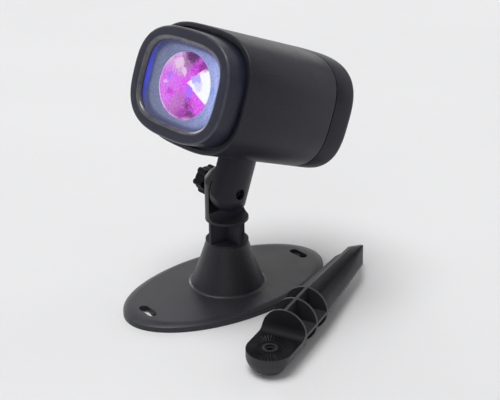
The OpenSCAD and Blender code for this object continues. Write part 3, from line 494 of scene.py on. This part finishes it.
def tray_finish(sizes, window):
    """Silvery tray that glows with painted light: blue-white light spilt from the right, streaks of painted
    reflection round the lens, painted shade round the foot of its rim, a painted blue reflection in the left rim
    and a painted blue glint
    """
    f = Finish("tray_spill")
    where, (x, _, z) = in_head_coords(f, sizes)
    fine = f.noise(0.6, detail=5, rough=0.75, where=where)
    speck = f.noise(1.0, detail=2, rough=0.6, where=where)
    # Streaks of painted reflection in rings round the lens
    ring = (x * x + z * z * 1.4) ** 0.5
    along = f.node("ShaderNodeCombineXYZ", None, {0: ring, 1: x * 0.06, 2: z * 0.06})
    reflected_streak = f.noise(1.1, where=along)
    # Painted pool of blue-white light spilt from the right; the tray gives all its painted light off as glow
    spill = f.between(x, -30.0, 33.0) ** 1.8 * f.between(z, -20.0, -4.0, 0.45, 1.0)
    glow = f.mix(spill, (0.094, 0.110, 0.215), (0.30, 0.38, 1.0))
    lines = f.mix(f.between(reflected_streak, 0.42, 0.62) * spill * 0.5, glow, (0.62, 0.74, 1.0))
    bright = f.mix(f.between(speck, 0.52, 0.66) * 0.4, lines, (0.30, 0.36, 0.60))
    dark = f.mix(f.between(speck, 0.48, 0.34) * 0.5, bright, (0.05, 0.06, 0.15))
    grain = f.mix(f.between(fine, 0.35, 0.7) * 0.4, dark, (0.02, 0.024, 0.07))
    inset = window.pane_lap - window.tray_lip
    half_w = (window.open_w / 2 + inset) / MM
    half_h = (window.open_h / 2 + inset) / MM
    side, height = [f.node("ShaderNodeMath", {"operation": "ABSOLUTE"}, {0: v}) for v in (x, z)]
    out = (side / half_w) ** window.open_square + (height / half_h) ** window.open_square
    # Painted shade: a darker band round the foot of the tray's rim
    seam = f.mix(f.between(out, 0.56, 0.72) * 0.8, grain, (0.012, 0.016, 0.075))
    # Painted reflection of blue light in the left rim
    left_reflection_mask = f.between(out, 0.82, 0.92) * f.between(x, -20.0, -30.0) * f.between(z, -19.0, -2.0)
    with_left_reflection = f.mix(left_reflection_mask * f.between(z, 21.0, 0.0), seam, (0.03, 0.046, 0.62))
    shine = f.mix(spot(f, x, z, *GLINT) * 0.6, with_left_reflection, (0.10, 0.22, 0.72))
    base = f.mix(f.between(fine, 0.3, 0.7), (0.06, 0.065, 0.09), (0.10, 0.105, 0.14))
    return f.surface(
        base_color=base, roughness=fine * 0.2 + 0.3, metallic=0.2, emission_color=shine,
        emission_strength=1.0, normal=f.bump(fine, 0.2, 0.0002),
    )


def pane_finish():
    """Clear pane with faint smears"""
    f = Finish("pane_glass")
    smear = f.between(f.noise(95, detail=4, rough=0.6), 0.5, 0.8)
    return f.surface(
        base_color=f.mix(smear, (0.75, 0.82, 0.95), (0.95, 0.96, 1.0)), roughness=smear * 0.1 + 0.03,
        alpha=smear * 0.02 + 0.02, normal=f.bump(smear, 0.05, 0.0002), specular_ior_level=0.3,
    )


def lit_finish(name, colour, strength):
    """Pale resin of a light emitter"""
    f = Finish(name)
    cloud = f.between(f.noise(900, detail=2), 0.3, 0.7)
    shade = f.mix(cloud, scaled(colour, 0.8), colour)
    return f.surface(
        base_color=shade, roughness=cloud * 0.1 + 0.3, emission_color=shade, emission_strength=strength,
        normal=f.bump(cloud, 0.1, 0.0001),
    )


def build_finishes(scene):
    """Every material of the part, by slot; mouldings list rough, grain, mottle, wear and shine"""
    tones = scene.wave_tones
    head = scene.wave_head
    return {
        "housing_black": moulded("barrel_plastic", tones.barrel, 0.44, 0.4, 0.12, 2.5, 0.3),
        # The bezel's edges are made very pale: worn, with highlights painted on its outer edge and window lip
        "bezel_black": moulded("bezel_plastic", tones.bezel, 0.40, 0.35, 0.12, 5.0, 0.35, polished=True),
        "base_black": moulded("base_plastic", tones.base, 0.42, 0.4, 0.14, 2.0, 0.4),
        # The last factor of the post and the stake sets how bright the painted light in their pockets is
        "post_black": moulded("post_plastic", tones.post, 0.42, 0.3, 0.14, 2.4, 0.35, dust=2.8),
        "arm_black": moulded("arm_plastic", tones.arm, 0.42, 0.35, 0.12, 2.0, 0.35),
        "knob_black": moulded("knob_plastic", tones.knob, 0.5, 0.3, 0.15, 2.2, 0.12),
        "gland_black": moulded("gland_plastic", tones.knob, 0.45, 0.3, 0.15, 2.0),
        "stake_black": moulded("stake_plastic", tones.stake, 0.43, 0.4, 0.15, 2.2, 0.4, dust=1.3),
        "seal_rubber": rubber("seal_rubber"),
        "screw_steel": turned_metal("screw_steel", (0.58, 0.58, 0.56), 0.3),
        "black_steel": turned_metal("black_steel", (0.05, 0.05, 0.052), 0.36, 0.9),
        "nut_brass": turned_metal("nut_brass", (0.62, 0.44, 0.18), 0.28),
        "sink_metal": turned_metal("sink_metal", (0.52, 0.53, 0.55), 0.42),
        "motor_metal": turned_metal("motor_metal", (0.60, 0.59, 0.56), 0.36),
        "board_white": board("board_white", (0.72, 0.72, 0.70), (0.85, 0.84, 0.80)),
        "board_green": board("board_green", (0.02, 0.14, 0.05), (0.30, 0.24, 0.08)),
        "parts_dark": moulded("component_body", (0.02, 0.02, 0.024), 0.5, 0.3, 0.2, 1.6),
        "emitter_white": lit_finish("emitter_resin", (0.95, 0.90, 0.75), 0.6),
        "pane_clear": pane_finish(),
        "tray_silver": tray_finish(head, scene.wave_window),
        "lens_tinted": lens_finish(head, scene.wave_window),
        "rotor_tinted": rotor_finish(head),
    }


# Materials by slot, once their operator has run
FINISHES = {}
SLOT_OF = {part["node"]: part["material_slot"] for part in frame["record"]["subparts"]}
BODY_OF = {node: body for body, nodes in frame["record"]["behaviour"]["bodies"].items() for node in nodes}
# Distances under which points are one, in metres: on a loft, after a bevel or cut, and in a CAD mesh
LOFT_WELD = 1e-7
SLIVER = 2e-7
CAD_WELD = 2e-6
# Angles in degrees: folds that stay sharp on a loft, the lens and an eased copy, edges to ease, flat joins
LOFT_FOLD = 32
LENS_FOLD = 40
EASED_FOLD = 34
SHARP = 30
FLAT = 0.5


def finish_of(slot):
    """Material of a slot"""
    if slot not in FINISHES:
        raise RuntimeError(f"{slot} has no finish: the finishes are made first")
    return FINISHES[slot]


def signed_power(value, exponent):
    return math.copysign(abs(value) ** exponent, value)


class Loft:
    """A mesh that grows ring by ring along the head's depth; a ring is (width, height, squareness, depth)"""

    def __init__(self, segments, ring):
        self.bm = bmesh.new()
        self.turn = self.bm.verts.layers.float.new("turn")
        self.edge = self.bm.faces.layers.float.new("edge")
        start = bmesh.ops.create_circle(self.bm, segments=segments, radius=1)["verts"]
        for vert in start:
            vert[self.turn] = math.atan2(vert.co.y, vert.co.x)
        self.shape(start, ring)
        self.first = self.rim = self.bm.edges[:]

    def shape(self, verts, ring):
        w, h, n, depth = ring
        for vert in verts:
            x = w / 2 * signed_power(math.cos(vert[self.turn]), 2 / n)
            z = h / 2 * signed_power(math.sin(vert[self.turn]), 2 / n)
            vert.co = (x, depth, z)

    def to(self, *rings, eased=0.0):
        for ring in rings:
            made = bmesh.ops.extrude_edge_only(self.bm, edges=self.rim)["geom"]
            verts = {g for g in made if isinstance(g, bmesh.types.BMVert)}
            self.rim = [g for g in made if isinstance(g, bmesh.types.BMEdge) and set(g.verts) <= verts]
            self.shape(verts, ring)
            for face in made:
                if isinstance(face, bmesh.types.BMFace):
                    face[self.edge] = eased
        return self

    def round(self, ring, r, depth_dir, steps=5, opening=False, inwards=False, worn_and_highlit=0.4):
        """Quarter-round edge; inwards ends on the face and outwards on the side, and an opening flares; the
        round's faces are marked paler, for wear and painted highlight
        """
        w, h, n, depth = ring
        turns = [90 * (i + 1) / steps for i in range(steps)]
        for a in turns:
            t = math.radians(90 - a if inwards else a)
            draw = r * (1 - math.sin(t)) * (-1 if opening else 1)
            self.to((w - 2 * draw, h - 2 * draw, n, depth + depth_dir * r * (1 - math.cos(t))), eased=worn_and_highlit)
        return self

    def close(self):
        bmesh.ops.bridge_loops(self.bm, edges=self.first + self.rim)
        return self

    def fill_ends(self):
        bmesh.ops.contextual_create(self.bm, geom=self.first)
        bmesh.ops.contextual_create(self.bm, geom=self.rim)
        return self

    def mesh(self, name, place):
        bmesh.ops.remove_doubles(self.bm, verts=self.bm.verts, dist=LOFT_WELD)
        bmesh.ops.recalc_face_normals(self.bm, faces=self.bm.faces)
        bmesh.ops.transform(self.bm, matrix=place, verts=self.bm.verts)
        return to_mesh(self.bm, name)


def to_mesh(bm, name):
    data = bpy.data.meshes.new(name)
    bm.to_mesh(data)
    bm.free()
    return data


def drop_slivers(bm):
    """Takes out the thin faces that a bevel or a cut leaves"""
    bmesh.ops.remove_doubles(bm, verts=bm.verts, dist=SLIVER)
    bmesh.ops.dissolve_degenerate(bm, dist=SLIVER, edges=bm.edges)


def smooth(data, angle):
    data.shade_smooth()
    data.set_sharp_from_angle(angle=math.radians(angle))


def add_piece(name, data, node, angle=LOFT_FOLD):
    """Object for a mesh that stands for a CAD node, with its finish, on its body"""
    if not data.polygons:
        raise RuntimeError(f"{name} has no faces")
    piece = bpy.data.objects.new(name, data)
    bpy.context.scene.collection.objects.link(piece)
    smooth(data, angle)
    slot = SLOT_OF[node]
    data.materials.append(finish_of(slot))
    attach(piece, BODY_OF[node])
    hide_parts(node)
    return piece


def weigh_normals(piece):
    """Keeps flat faces flat beside their eased edges"""
    modifier = piece.modifiers.new("weigh", "WEIGHTED_NORMAL")
    modifier.keep_sharp = True
    modifier.weight = 60


# Depth under a rod's skin from which a face is cut in, and the rim round its teeth
CUT_DEPTH = 0.0004
TOOTH_RIM = 0.0006
# Marks of a toothed face, which gets painted shade, and of the collar's pockets, which get painted light
TOOTHED = 1.0
PAINTED_POCKET_LIGHT = 2.0


def mark_inner(bm, place, rod, hollow):
    """Marks the faces cut into a rod, for painted shade and painted light: its toothed face, the hollow below it
    and the collar's pockets
    """
    inner = bm.faces.layers.float.new("inner")
    back = place.inverted()
    for face in bm.faces:
        at = back @ face.calc_center_median()
        from_bolt = math.hypot(at.y, at.z)
        deep = math.hypot(at.x, at.y) < rod.radius - CUT_DEPTH
        flat = (back.to_3x3() @ face.normal).x > 0.6
        if deep and flat and rod.boss < from_bolt < rod.radius - TOOTH_RIM:
            face[inner] = TOOTHED
        elif deep and from_bolt > rod.radius and -rod.collar < at.z < 0:
            face[inner] = hollow if at.z > -rod.lap else PAINTED_POCKET_LIGHT


def eased_copy(node, width, place=None, hollow=PAINTED_POCKET_LIGHT):
    """Copy of a CAD node with its sharp edges eased, as a mould leaves them"""
    bm = bmesh.new()
    bm.from_mesh(frame["nodes"][node].data)
    edge = bm.faces.layers.float.new("edge")
    bmesh.ops.remove_doubles(bm, verts=bm.verts, dist=CAD_WELD)
    bmesh.ops.dissolve_limit(
        bm, angle_limit=math.radians(FLAT), verts=bm.verts, edges=bm.edges, use_dissolve_boundaries=False
    )
    sharp = [e for e in bm.edges if e.is_manifold and e.calc_face_angle(0) > math.radians(SHARP)]
    made = bmesh.ops.bevel(
        bm, geom=sharp, offset=width, offset_type="OFFSET", affect="EDGES", segments=2, profile=0.5,
        material=-1, clamp_overlap=True, loop_slide=True,
    )
    # Bevel faces get the full edge mark: paler for wear and painted highlights
    for face in made["faces"]:
        face[edge] = 1.0
    drop_slivers(bm)
    if place:
        mark_inner(bm, place, bpy.context.scene.wave_rod, hollow)
    name = node + "_eased"
    piece = add_piece(name, to_mesh(bm, name), node, EASED_FOLD)
    weigh_normals(piece)
    return piece


class StageOperator(bpy.types.Operator):
    """Adds the pale floor, the soft light and the camera"""

    bl_idname = "wave_projector.stage"
    bl_label = "Stage"

    # Where each soft light stands, seen from the object, and its width in degrees
    LAMPS = (
        ("key", (-0.08, -0.20, 0.95), 36),
        ("back", (-0.75, 0.65, 0.25), 45),
        ("left", (-0.80, 0.00, 0.18), 28),
        ("right", (0.40, 0.80, 0.16), 25),
        ("rear", (0.04, 0.87, 0.46), 42),
        ("side", (-0.55, -0.80, 0.33), 27),
        ("front", (0.75, -0.80, 0.65), 30),
    )
    SENSOR_MM = 36
    FLOOR_REACH = 20

    def execute(self, context):
        scene = context.scene
        stage = scene.wave_stage
        self.camera(scene, stage)
        self.floor(scene)
        self.sky(scene, stage)
        for name, place, spread in self.LAMPS:
            self.lamp(scene, name, place, spread, getattr(stage, name))
        scene.view_settings.view_transform = "Standard"
        return {"FINISHED"}

    def camera(self, scene, stage):
        camera = bpy.data.cameras.new("view")
        camera.lens = stage.lens_mm
        camera.sensor_width = self.SENSOR_MM
        camera.sensor_fit = "HORIZONTAL"
        eye = bpy.data.objects.new("view", camera)
        eye.location = stage.place
        eye.rotation_euler = (math.pi / 2 - stage.drop, 0, stage.turn)
        scene.collection.objects.link(eye)
        scene.camera = eye

    def floor(self, scene):
        bm = bmesh.new()
        bmesh.ops.create_grid(bm, x_segments=1, y_segments=1, size=self.FLOOR_REACH)
        floor = bpy.data.objects.new("floor", to_mesh(bm, "floor"))
        scene.collection.objects.link(floor)
        floor.data.materials.append(self.floor_finish(scene.wave_tones.floor))

    def floor_finish(self, colour):
        """Plain pale sheet with hardly any cloud in its tone"""
        f = Finish("studio_floor")
        cloud = f.between(f.noise(3.0, detail=2), 0.3, 0.7)
        pale = f.mix(cloud, scaled(colour, 0.97), colour)
        return f.surface(base_color=pale, roughness=0.8, specular_ior_level=0.2)

    def sky(self, scene, stage):
        world = bpy.data.worlds.new("soft_sky")
        scene.world = world
        world.use_nodes = True
        back = world.node_tree.nodes["Background"]
        back.inputs["Strength"].default_value = stage.sky
        back.inputs["Color"].default_value = (1, 1, 1, 1)

    def lamp(self, scene, name, place, spread, strength):
        light = bpy.data.lights.new(name, "SUN")
        light.energy = strength
        light.angle = math.radians(spread)
        lamp = bpy.data.objects.new(name, light)
        lamp.location = place
        lamp.rotation_euler = Vector(place).to_track_quat("Z", "Y").to_euler()
        scene.collection.objects.link(lamp)


class BarrelOperator(bpy.types.Operator):
    """Adds the barrel and the rear cap as smooth lofted shells"""

    bl_idname = "wave_projector.barrel"
    bl_label = "Barrel and rear cap"

    def execute(self, context):
        s = context.scene.wave_head
        place = head_place(s)
        w, h, n = s.width, s.height, s.square
        inner = (w - 2 * s.wall, h - 2 * s.wall, n)
        barrel = Loft(s.segments, (*inner, s.front))
        barrel.to((w - 2 * s.edge, h - 2 * s.edge, n, s.front))
        barrel.round((w, h, n, s.front), s.edge, 1)
        barrel.to((w, h, n, s.end - s.seam))
        barrel.round((w, h, n, s.end), s.seam, -1, steps=2, inwards=True)
        barrel.to((*inner, s.end))
        barrel.close()
        add_piece("barrel_shell", barrel.mesh("barrel_shell", place), "housing_barrel")
        slip = context.scene.wave_window.slip
        plug = (inner[0] - 2 * slip, inner[1] - 2 * slip, n)
        hollow = (plug[0] - 2 * s.spigot_wall, plug[1] - 2 * s.spigot_wall, n)
        cap = Loft(s.segments, (*hollow, s.back - s.wall))
        cap.to((*hollow, s.cap - s.spigot), (*plug, s.cap - s.spigot), (*plug, s.cap))
        cap.to((w - 2 * s.seam, h - 2 * s.seam, n, s.cap))
        cap.round((w, h, n, s.cap), s.seam, 1, steps=2)
        cap.to((w, h, n, s.back - s.cap_edge))
        cap.round((w, h, n, s.back), s.cap_edge, -1, steps=8, inwards=True)
        cap.fill_ends()
        shell = add_piece("cap_shell", cap.mesh("cap_shell", place), "rear_cap")
        self.sink_wells(s, place, shell)
        return {"FINISHED"}

    def sink_wells(self, s, place, shell):
        """Cuts the four screw wells where the CAD screws sit"""
        screws = frame["nodes"]["rear_screws"].data
        local = [place.inverted() @ v.co for v in screws.vertices]
        xs = [abs(p.x) for p in local]
        zs = [abs(p.z) for p in local]
        x = (min(xs) + max(xs)) / 2
        z = (min(zs) + max(zs)) / 2
        r = s.well / 2
        bm = bmesh.new()
        for sx in (-1, 1):
            for sz in (-1, 1):
                well = bmesh.ops.create_cone(
                    bm, cap_ends=True, segments=48, radius1=r, radius2=r, depth=2 * s.well_depth
                )["verts"]
                turn = Matrix.Translation((sx * x, s.back, sz * z)) @ Matrix.Rotation(math.pi / 2, 4, "X")
                bmesh.ops.transform(bm, matrix=place @ turn, verts=well)
        cutter = bpy.data.objects.new("wells", to_mesh(bm, "wells"))
        bpy.context.scene.collection.objects.link(cutter)
        cut = shell.modifiers.new("wells", "BOOLEAN")
        cut.operation = "DIFFERENCE"
        cut.solver = "EXACT"
        cut.object = cutter
        ready = shell.evaluated_get(bpy.context.evaluated_depsgraph_get())
        bm = bmesh.new()
        bm.from_mesh(ready.data)
        drop_slivers(bm)
        shell.modifiers.clear()
        bm.to_mesh(shell.data)
        bm.free()
        bpy.data.objects.remove(cutter)
        smooth(shell.data, LOFT_FOLD)


class BezelOperator(bpy.types.Operator):
    """Adds the deep front bezel as a smooth lofted frame"""

    bl_idname = "wave_projector.bezel"
    bl_label = "Bezel"

    def execute(self, context):
        s = context.scene.wave_head
        d = context.scene.wave_window
        out = (d.width, d.height, d.square)
        plug = (s.width - 2 * s.wall - 2 * d.slip, s.height - 2 * s.wall - 2 * d.slip, s.square)
        cavity = (d.width - 2 * d.wall, d.height - 2 * d.wall, d.square)
        pane = 2 * d.pane_lap + 2 * d.slip
        pocket = (d.open_w + pane, d.open_h + pane, d.open_square)
        opening = (d.open_w, d.open_h, d.open_square)
        flare = 2 * d.open_edge
        bezel = Loft(s.segments, (d.open_w + flare, d.open_h + flare, d.open_square, 0))
        bezel.to((d.width - 2 * d.edge, d.height - 2 * d.edge, d.square, 0))
        bezel.round((*out, 0), d.edge, 1)
        bezel.to((*out, d.plug), (*plug, d.plug), (*plug, d.plug_end))
        bezel.to((*cavity, d.plug_end), (*cavity, d.tray), (*pocket, d.tray), (*pocket, d.frame))
        bezel.to((*opening, d.frame), (*opening, d.open_edge))
        # The window's rounded lip carries the full edge mark, a painted highlight
        bezel.round((*opening, 0), d.open_edge, 1, steps=6, opening=True, inwards=True, worn_and_highlit=1.0)
        bezel.close()
        add_piece("bezel_frame", bezel.mesh("bezel_frame", head_place(s)), "front_bezel")
        return {"FINISHED"}


class OpticsOperator(bpy.types.Operator):
    """Adds the lens tray and the crowned lens"""

    bl_idname = "wave_projector.optics"
    bl_label = "Tray and lens"

    LENS_RINGS = 12
    # Half angle of the flat at the lens's crown
    CROWN_FLAT = math.radians(4)

    def execute(self, context):
        s = context.scene.wave_head
        d = context.scene.wave_window
        self.add_tray(s, d)
        self.add_lens(s, d)
        return {"FINISHED"}

    def add_tray(self, s, d):
        outer = (d.width - 2 * d.wall - 2 * d.slip, d.height - 2 * d.wall - 2 * d.slip, d.square)
        rim_out = (d.open_w + 2 * d.pane_lap, d.open_h + 2 * d.pane_lap, d.open_square)
        rim_in = (rim_out[0] - 2 * d.tray_lip, rim_out[1] - 2 * d.tray_lip, d.open_square)
        hole = (d.lens_w + 2 * d.slip, d.lens_h + 2 * d.slip, 2)
        back = d.tray + d.tray_t
        tray = Loft(s.segments, (*hole, back))
        tray.to((*outer, back), (*outer, d.tray), (*rim_out, d.tray), (*rim_out, d.pane_back))
        tray.to((*rim_in, d.pane_back), (*rim_in, d.tray))
        tray.to((hole[0] + 2 * d.hole_edge, hole[1] + 2 * d.hole_edge, 2, d.tray))
        tray.round((*hole, d.tray), d.hole_edge, 1, steps=3, opening=True)
        tray.close()
        add_piece("tray_plate", tray.mesh("tray_plate", head_place(s)), "lens_tray")

    def add_lens(self, s, d):
        back = d.tray + d.tray_t
        flange = (d.lens_w + 2 * d.lens_lap, d.lens_h + 2 * d.lens_lap, 2)
        first = self.CROWN_FLAT
        small = (d.lens_w * math.sin(first), d.lens_h * math.sin(first), 2)
        lens = Loft(s.segments, (*small, d.tray - d.lens_crown))
        for i in range(1, self.LENS_RINGS + 1):
            a = first + (math.pi / 2 - first) * i / self.LENS_RINGS
            depth = d.tray - d.lens_crown * math.cos(a)
            lens.to((d.lens_w * math.sin(a), d.lens_h * math.sin(a), 2, depth))
        lens.to((d.lens_w, d.lens_h, 2, back), (*flange, back), (*flange, back + d.flange_t))
        lens.fill_ends()
        add_piece("lens_dome", lens.mesh("lens_dome", head_place(s)), "dome_lens", LENS_FOLD)


class StandOperator(bpy.types.Operator):
    """Eases the base, post, arm, clamp and cable gland, and paints a highlight on the pedestal's foot"""

    bl_idname = "wave_projector.stand"
    bl_label = "Stand and clamp"

    # Widths of the eased edges
    EASED = {
        "base_flange": 0.0004, "tilt_arm": 0.0004, "tilt_knob": 0.0006, "washer": 0.0002, "knob_nut": 0.0003,
        "pivot_bolt": 0.0003, "cable_gland": 0.0004,
    }
    POST_EASED = 0.0003
    # Rise of the normals on the foot's rounding, and how strong the highlight painted on it is
    FOOT_RISE = (0.42, 0.99)
    FOOT_HIGHLIGHT = 1.2

    def execute(self, context):
        pieces = {node: eased_copy(node, width) for node, width in self.EASED.items()}
        self.paint_foot_highlight(pieces["base_flange"], context.scene.wave_foot)
        eased_copy("base_post", self.POST_EASED, place=Matrix.Translation(PIVOT))
        return {"FINISHED"}

    def paint_foot_highlight(self, base, foot):
        """Paints a highlight on the rounding at the pedestal's foot, through its edge mark"""
        low, high = self.FOOT_RISE
        marks = base.data.attributes["edge"].data
        for face in base.data.polygons:
            x, y, z = face.center
            near = abs(math.hypot(x, y) - foot.radius) < foot.fillet and 0 < z - foot.top < foot.fillet
            if near and low < face.normal.z < high:
                marks[face.index].value = self.FOOT_HIGHLIGHT


class StakeOperator(bpy.types.Operator):
    """Eases the ground stake"""

    bl_idname = "wave_projector.stake"
    bl_label = "Ground stake"

    EASED = 0.0003
    # Mark of the hollow below the toothed face, which gets a lighter painted shade than the toothed face
    HOLLOW = 1.3

    def execute(self, context):
        rod = context.scene.wave_rod
        eye = next(m for m in frame["record"]["mounts"] if m["name"] == "stake_eye")["pos_m"]
        lie = Matrix.Rotation(rod.turn, 4, "Z") @ Matrix.Rotation(math.pi / 2, 4, "X")
        place = Matrix.Translation((eye[0], eye[1], rod.radius)) @ lie @ Matrix.Rotation(math.pi / 2, 4, "Z")
        eased_copy("ground_stake", self.EASED, place=place, hollow=self.HOLLOW)
        return {"FINISHED"}


class InsideOperator(bpy.types.Operator):
    """Gives the pieces that stay as the CAD made them their finishes"""

    bl_idname = "wave_projector.inside"
    bl_label = "Inner pieces"

    def execute(self, context):
        for node, piece in frame["nodes"].items():
            piece.data.materials.clear()
            piece.data.materials.append(finish_of(SLOT_OF[node]))
        return {"FINISHED"}


class FinishOperator(bpy.types.Operator):
    """Makes every material"""

    bl_idname = "wave_projector.finishes"
    bl_label = "Finishes"

    def execute(self, context):
        FINISHES.update(build_finishes(context.scene))
        return {"FINISHED"}


STEPS = (
    StageOperator, FinishOperator, InsideOperator, BarrelOperator, BezelOperator, OpticsOperator,
    StandOperator, StakeOperator,
)


class ProjectorPanel(bpy.types.Panel):
    """Lists the build steps and their settings"""

    bl_idname = "VIEW3D_PT_wave_projector"
    bl_label = "Wave projector"
    bl_space_type = "VIEW_3D"
    bl_region_type = "UI"
    bl_category = "Wave projector"

    def draw(self, context):
        for step in STEPS:
            self.layout.operator(step.bl_idname)
        for group, kind in GROUPS.items():
            for name in kind.__annotations__:
                self.layout.prop(getattr(context.scene, group), name)


GROUPS = {
    "wave_head": HeadSizes, "wave_window": WindowSizes, "wave_rod": RodSizes, "wave_foot": FootSizes,
    "wave_tones": FinishTones, "wave_stage": StageSettings,
}
CLASSES = (*GROUPS.values(), *STEPS, ProjectorPanel)


def register():
    for cls in CLASSES:
        bpy.utils.register_class(cls)
    for name, group in GROUPS.items():
        setattr(bpy.types.Scene, name, PointerProperty(type=group))


def unregister():
    for name in GROUPS:
        delattr(bpy.types.Scene, name)
    for cls in reversed(CLASSES):
        bpy.utils.unregister_class(cls)


def main():
    register()
    for step in STEPS:
        family, name = step.bl_idname.split(".")
        getattr(getattr(bpy.ops, family), name)()


if __name__ == "__main__":
    main()
